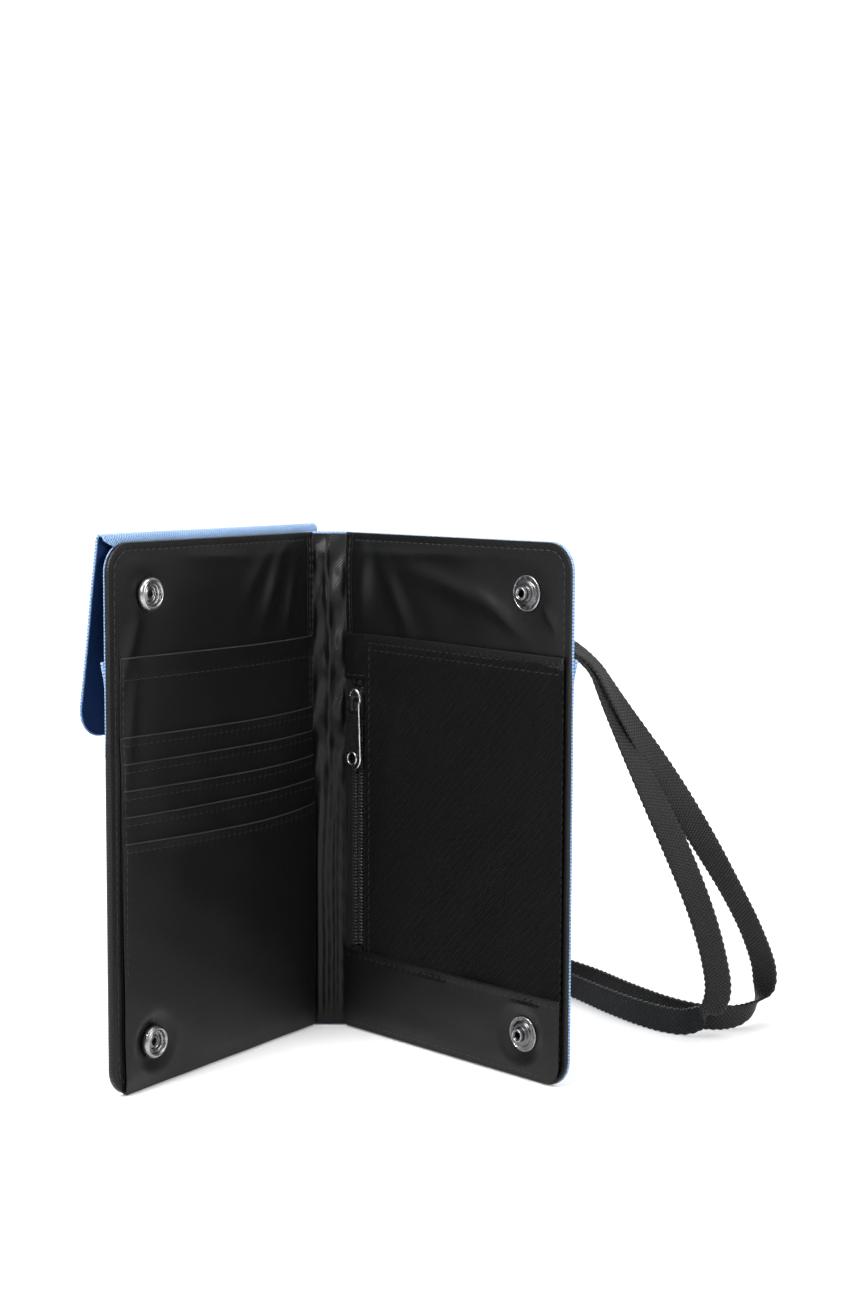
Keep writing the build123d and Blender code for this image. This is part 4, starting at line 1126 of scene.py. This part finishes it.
def coil_side(low, high, mirror):
    """One coil: a flattened helix of round filament, its turns leaning towards the other coil
    as a sine of the angle."""
    reach = high[1] - low[1] - 2 * COIL_WIRE
    turns = int(reach / COIL_PITCH)
    angle = np.linspace(0, turns * 2 * np.pi, turns * 14 + 1)
    meet = 0.5 * (mirror * 0.5 + 0.5)
    up = low[1] + COIL_WIRE + (angle / (2 * np.pi) + meet) * reach / (turns + 0.5)
    wide = (high[0] - low[0]) / 2 - COIL_WIRE + 0.28
    tall = (high[2] - low[2]) / 2 - COIL_WIRE
    across = (low[0] + high[0]) / 2 - mirror * 0.28 + wide * np.cos(angle)
    depth = (low[2] + high[2]) / 2 + tall * np.sin(angle)
    line = lay("back", across, up + 0.3 * np.cos(angle), depth)
    tangent = unit(np.gradient(line, axis=0))
    aside = unit(np.cross(tangent, UP))
    over = np.cross(aside, tangent)
    turn = np.arange(6) * np.pi / 3
    rings = line[:, None, :] + COIL_WIRE * MM * (
        np.cos(turn)[None, :, None] * aside[:, None, :]
        + np.sin(turn)[None, :, None] * over[:, None, :])
    return rings


for name, mirror in (("zip_coil_spine_side", -1), ("zip_coil_panel_side", 1)):
    rings = coil_side(*reading("back", name), mirror)
    coil = make_piece(name + "_helix", rings, ring_faces(len(rings), 6), nylon, "back_cover")
    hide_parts(name)
for name in ("zip_bottom_stop", "zip_top_stop_spine_side", "zip_top_stop_panel_side"):
    repaint(name, dark_nickel)

# ---------------------------------------------------------------------------------------------
# The slider and its pull: die-cast metal, dark plated, with beads of brighter nickel along their
# rims: painted highlights.
repaint("zip_slider", dark_nickel)
repaint("zip_pull", dark_nickel)


def rim_wire(name, path, radius, finish, body):
    """A round bead along a closed path of points in metres."""
    path, run = even_steps(np.vstack((path, path[:1])), 0.35 * MM)
    path = path[:-1]
    tangent = unit(np.roll(path, -1, 0) - np.roll(path, 1, 0))
    out = np.broadcast_to(PANELS["back"][2], path.shape)
    aside = np.cross(tangent, out)
    turn = np.arange(8) * np.pi / 4
    rings = path[:, None, :] + radius * MM * (np.cos(turn)[None, :, None] * aside[:, None, :]
                                              + np.sin(turn)[None, :, None] * out[:, None, :])
    count = len(path)
    here = np.arange(count)[:, None] * 8 + np.arange(8)[None, :]
    beside = np.arange(count)[:, None] * 8 + (np.arange(8)[None, :] + 1) % 8
    faces = np.stack((here, beside, np.roll(beside, -1, 0), np.roll(here, -1, 0)), -1)
    return make_piece(name, rings, faces.reshape(-1, 4), finish, body)


low, high = reading("back", "zip_slider")
turn_steps = np.linspace(0, 2 * np.pi, 41)[:-1]
crown_up = high[1] - 4.6 + 4.1 * np.sin(turn_steps)
crown_across = (low[0] + high[0]) / 2 + (2.7 + 0.35 * np.sin(turn_steps)) * np.cos(turn_steps)
# The upper plate's face stands over the tapes, the coils, the coils' play and the plate itself.
plate_top = 1.2 + 1.2 + 0.15 + 0.8
# The crown rises away from the pull's pin, so the pull clears it when it is turned up.
crown_depth = plate_top - 0.32 + 0.055 * (crown_up - crown_up.min())
path = lay("back", crown_across, crown_up, crown_depth)
rim_wire("zip_slider_crown", path, 0.42, painted_highlight_nickel, "zip_slider")

low, high = reading("back", "zip_pull")
foot_radius = (high[0] - low[0]) / 2
middle_across = (low[0] + high[0]) / 2
shoulder = foot_radius * 0.78
bead = 0.42
edge_inset = 0.15
arc = np.radians(np.linspace(180, 360, 25))
outline = [(middle_across - shoulder + edge_inset, high[1] - bead)]
outline += [(middle_across + (foot_radius - edge_inset) * np.cos(a),
             low[1] + foot_radius + (foot_radius - edge_inset) * np.sin(a)) for a in arc]
outline += [(middle_across + shoulder - edge_inset, high[1] - bead)]
outline = np.array(outline)
path = lay("back", outline[:, 0], outline[:, 1], np.full(len(outline), (low[2] + high[2]) / 2))
rim_wire("zip_pull_rim", path, bead, painted_highlight_nickel, "zip_pull")
circle = np.linspace(0, 2 * np.pi, 33)[:-1]
hole = 2.1 + 0.3
path = lay("back", middle_across + hole * np.cos(circle),
           low[1] + foot_radius + hole * np.sin(circle), np.full(32, high[2]))
rim_wire("zip_pull_hole_rim", path, 0.25, painted_highlight_nickel, "zip_pull")

# ---------------------------------------------------------------------------------------------
# The press studs: turned and pressed dark nickel. Sockets with a rolled rim are on the front
# cover and studs with a dotted flange on the back one. Plain domed caps show on the outside.


def revolved(name, side, spot, profile, finish, body, dimples=0):
    """A profile of radius and depth turned round a snap's axis. Dimples press shallow round
    dents into the ring between two radii, by a power of a cosine."""
    profile = np.array(profile, float)
    fine = []
    for first, second in zip(profile, profile[1:]):
        fine.append(first + (second - first) * np.linspace(0, 1, 4)[:-1, None])
    profile = np.vstack(fine + [profile[-1:]])
    smooth = profile.copy()
    smooth[1:-1] = (profile[:-2] + 2 * profile[1:-1] + profile[2:]) / 4
    turn = np.linspace(0, 2 * np.pi, 73)[:-1]
    radius = np.broadcast_to(smooth[:, 0][:, None], (len(smooth), 72))
    depth = np.broadcast_to(smooth[:, 1][:, None], (len(smooth), 72)).copy()
    if dimples:
        ring = np.exp(-((radius - 5.3) / 0.38) ** 2) * (depth > 0.4)
        depth -= 0.22 * ring * np.clip(np.cos(turn * dimples), 0, 1)[None, :] ** 3
    points = lay(side, spot[0] + radius * np.cos(turn), spot[1] + radius * np.sin(turn), depth)
    faces = ring_faces(len(smooth), 72, closed_ends=False)
    if side != "back":
        faces = [face[::-1] for face in faces]
    return make_piece(name, points, faces, finish, body)


SOCKET = [(1.95, 0.05), (5.2, 0.05), (5.85, 0.5), (5.95, 1.3), (5.6, 2.3), (5.1, 2.75), (4.6, 2.8),
          (4.25, 2.45), (4.1, 1.5), (3.75, 1.2), (3.55, 1.75), (3.3, 1.9), (3.1, 1.6),
          (3.1, 0.65), (2.9, 0.6), (1.95, 0.6), (1.95, 0.05)]
EYELET = [(1.15, -1.0), (1.15, 0.7), (1.3, 1.15), (1.65, 1.3), (2.1, 1.2), (2.5, 0.9),
          (2.85, 0.62), (1.9, 0.6), (1.9, -1.0)]
STUD = [(1.95, 0.05), (5.9, 0.05), (6.25, 0.3), (6.1, 0.7), (5.6, 0.85), (4.7, 0.8), (4.35, 1.0),
        (4.15, 1.45), (3.6, 1.6), (2.75, 1.6), (2.4, 1.9), (2.3, 2.5), (2.5, 3.1), (2.35, 3.6),
        (1.9, 3.75), (1.35, 3.6), (1.2, 3.0), (1.2, 0.5), (1.95, 0.5)]
CAP = [(0.02, -3.0), (2.5, -2.98), (4.6, -2.85), (5.6, -2.55), (6.0, -2.2), (5.9, -2.02),
       (1.9, -2.0), (1.9, -1.0), (1.15, -1.0), (1.15, -2.2), (0.02, -2.2)]
for (side, level), spot in SNAP_SPOTS.items():
    if side == "front":
        ring = revolved(f"socket_{level}", side, spot, SOCKET, plain_nickel, "front_cover")
        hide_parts(f"snap_socket_{level}")
        rivet = revolved(f"socket_eyelet_{level}", side, spot, EYELET, dark_nickel, "front_cover")
        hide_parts(f"socket_rivet_{level}")
    else:
        ring = revolved(f"stud_{level}", side, spot, STUD, dark_nickel, "back_cover", 12)
        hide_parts(f"snap_stud_{level}")
        # Two rings of lighter nickel on each stud, round the post's top and the flange's edge:
        # painted highlights.
        for number, (radius, height, wire) in enumerate(((2.05, 3.68, 0.3), (6.05, 0.55, 0.3))):
            circle_line = lay("back", spot[0] + radius * np.cos(circle),
                              spot[1] + radius * np.sin(circle), np.full(32, height))
            rim_wire(f"stud_{level}_rim_{number}", circle_line, wire, plain_nickel, "back_cover")
    cap = revolved(f"{side}_cap_{level}", side, spot, CAP, dark_nickel, BODY[side])
    if side == "back":
        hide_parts(f"stud_rivet_{level}")

# ---------------------------------------------------------------------------------------------
# The outer pockets: canvas pans sewn to the covers along three sides and open at the top, with
# a doubled hem along the mouth.


def pan_profile(across, up, low, high, rise):
    """A pocket's swell: it climbs from the sewn rim to the flat face by a smooth cubic of the
    distance from the three sewn sides."""
    from_rim = np.minimum(np.minimum(across - low[0], high[0] - across), up - low[1])
    return rise * eased(from_rim - 3.0, 10.0)


for side in ("front", "back"):
    low, high = reading(side, side + "_pocket")
    skin = -cover[side][0][2]
    rise = -low[2] - skin - 0.6
    across, up = cloth_grid(low, high, (2, CORNER - 1, 0, 0), 1.1)
    from_rim = np.minimum(np.minimum(across - low[0], high[0] - across), up - low[1])
    bulge = pan_profile(across, up, low, high, rise)
    slack = drift_waves(across, up, 41 if side == "front" else 42, 38, 0.35)
    slack = slack * eased(from_rim - 3, 12)
    mouth = 0.35 * eased(5.6 - (high[1] - up), 0.9)
    # The hem's end stands a little past the cover's outer edge, and the side runs back in.
    ear = 2.5 * np.exp(-(high[1] - up) / 9.0) + 0.4
    across = across + ear * eased(across - (high[0] - 10), 10)
    outer_depth = -skin - 0.6 - bulge - slack - mouth
    outer_depth -= sewn(from_rim - 1.8, across + up, 0.14) + sewn(high[1] - up - 4.6, across, 0.14)
    inner_depth = np.minimum(-skin - 0.02, -skin - bulge - slack)
    pocket = make_sheet(side + "_pocket_canvas", side, across, up, inner_depth, outer_depth,
                        canvas, 0.3)
    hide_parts(side + "_pocket", side + "_pocket_hem")
    runs = [seam_line(side, [(low[0] + 1.8, high[1] - 1), (low[0] + 1.8, low[1] + 1.8),
                             (high[0] - 9, low[1] + 1.8), (high[0] - 4.2, low[1] + 4.0),
                             (high[0] - 1.8, low[1] + 9), (high[0] - 1.8, high[1] - 1)],
                      -skin - 0.72)]
    spots = np.linspace(low[0] + 2.5, high[0] - 2.5, 60)
    reach_down = high[1] - 4.6
    runs.append(seam_line(side, [(a, reach_down) for a in spots],
                          lambda a, u: -skin - 0.9 - pan_profile(a, u, low, high, rise)))
    make_stitches(side + "_pocket_stitching", runs, blue_thread, BODY[side])

# ---------------------------------------------------------------------------------------------
# The flap: a strip of canvas sewn to the back of the front cover's upper edge. It turns over a
# soft fold above the edge and hangs over the front pocket, faced with dark blue cloth.
facing_cloth = woven("dark_blue_facing", (0.0015, 0.008, 0.035), (0.004, 0.024, 0.085),
                     (0.7, 0.7, 1.0), 0.2, 0.1, (0.7, 0.5), 0.0, 50.0, 0.12)
hinge = np.array(joints["flap_lift"]["pos_m"]) / MM
hinge_depth = float((hinge - PANELS["front"][0]) @ PANELS["front"][2])
hinge_up = hinge[2]
flap_low, flap_high = reading("front", "flap_canvas")
FLAP_LEAN = math.atan2(-flap_low[2] + hinge_depth - 1.0, hinge_up - flap_low[1])
MOUNT_LEG = 12.0
FOLD_RADIUS = 1.15


def flap_profile(run):
    """Depth and up along the flap's section: up the mount leg, round the fold as an arc, and
    down the leaning flap."""
    turn = np.pi - FLAP_LEAN
    arc = FOLD_RADIUS * turn
    leg = np.clip(run, None, MOUNT_LEG)
    angle = np.clip((run - MOUNT_LEG) / FOLD_RADIUS, 0, turn)
    fall = np.clip(run - MOUNT_LEG - arc, 0, None)
    start = hinge_depth + 0.35
    depth = start - FOLD_RADIUS + FOLD_RADIUS * np.cos(angle) - fall * np.sin(FLAP_LEAN)
    up = hinge_up - MOUNT_LEG + leg + FOLD_RADIUS * np.sin(angle) - fall * np.cos(FLAP_LEAN)
    out_depth = np.cos(angle)
    out_up = np.sin(angle)
    return depth, up, out_depth, out_up


fold_run = MOUNT_LEG + FOLD_RADIUS * (np.pi - FLAP_LEAN)
FLAP_FALL = (hinge_up - flap_low[1]) / math.cos(FLAP_LEAN)
full_run = fold_run + FLAP_FALL
LEG_TRIM = 10.0


def flap_layer(name, first_run, last_run, inner, outer, finish, corner, ends, puckers):
    """One layer of the flap between two offsets from its section line. The outer end has
    round corners. Its surface is eased by slow waves that die out at the fold."""
    grid_low, grid_high = np.array([ends[0], -last_run]), np.array([ends[1], -first_run])
    across, back_run = cloth_grid(grid_low, grid_high, (corner, corner, 0, 0), 0.9)
    run = -back_run
    across = across - (1 - eased(run - 7, 5.5)) * LEG_TRIM * eased(across - 70, 43)
    depth, up, out_depth, out_up = flap_profile(run)
    sway = drift_waves(across, run, 51, 50, 0.5) * eased(run - fold_run - 4, 20)
    rim = np.minimum(np.minimum(across - ends[0], ends[1] - across), last_run - run)
    tuck = sewn(rim - 2.2, across + run, 0.12) * puckers
    outer_face = outer + tuck

    def at(offset):
        return lay("front", across, up + out_up * offset, depth + out_depth * offset - sway)

    points, faces, loop, rounds = closed_sheet(at(outer_face), at(inner), 0.25)
    flat = np.stack((across, run), -1).reshape(-1, 2)
    uv = np.vstack([flat, flat] + [flat[loop]] * rounds)
    return make_piece(name, points, faces, finish, "front_cover", uv)


flap_ends = (flap_low[0], flap_high[0])
flap = flap_layer("flap_canvas_cloth", 0.0, full_run, 0.0, 0.75, canvas, 12.0,
                  flap_ends, 1.0)
flap.parent = None
inward = PANELS["front"][2]
blend_start = lay("front", np.array(50.0), np.array(hinge_up), np.array(hinge_depth + 0.2))
blend_end = lay("front", np.array(50.0), np.array(hinge_up), np.array(hinge_depth - 1.6))
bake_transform(flap)
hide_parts("flap_canvas", "flap_mount_strip")
facing = flap_layer("flap_facing_cloth", MOUNT_LEG - 2.5, full_run - 0.6, -0.3, 0.0,
                    facing_cloth, 11.4, (flap_ends[0] + 0.6, flap_ends[1] - 0.5), 0.0)
facing.parent = None
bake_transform(facing)
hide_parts("flap_facing")

# Hook and loop tape: a stiff hook patch inside the flap meets a soft loop patch on the pocket.
tape_black = woven("hook_and_loop", (0.004, 0.004, 0.0045), (0.03, 0.03, 0.031),
                   (1.6, 1.6, 1.1), 0.2, 0.5, (0.85, 0.7), 0.1, 300.0, 0.15)
for name in ("flap_hook_patch", "front_pocket_loop_patch"):
    repaint(name, tape_black)

# ---------------------------------------------------------------------------------------------
# The strap's anchor: a patch of webbing sewn over the strap's two ends with a box and a cross of
# stitches.
low, high = reading("back", "strap_anchor")
across, up = cloth_grid(low, high, step=0.6)
rim = board_edge(across, up, low, high)
swell = 0.25 * eased(rim, 2.0) - 0.05 + sewn(rim - 1.5, across + up, 0.15)
anchor = make_sheet("strap_anchor_patch", "back", across, up, high[2],
                    low[2] - swell + 0.2, webbing, 0.3)
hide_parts("strap_anchor")
box_path = edge_path(low, high, (0, 0, 0, 0), 1.5)
cross_one = [(low[0] + 1.5, low[1] + 1.5), (high[0] - 1.5, high[1] - 1.5)]
cross_two = [(low[0] + 1.5, high[1] - 1.5), (high[0] - 1.5, low[1] + 1.5)]
make_stitches("strap_anchor_stitching",
              [seam_line("back", path, low[2] + 0.05) for path in (box_path, cross_one, cross_two)],
              black_thread, "back_cover", length=1.6, gap=0.5, thick=0.45)
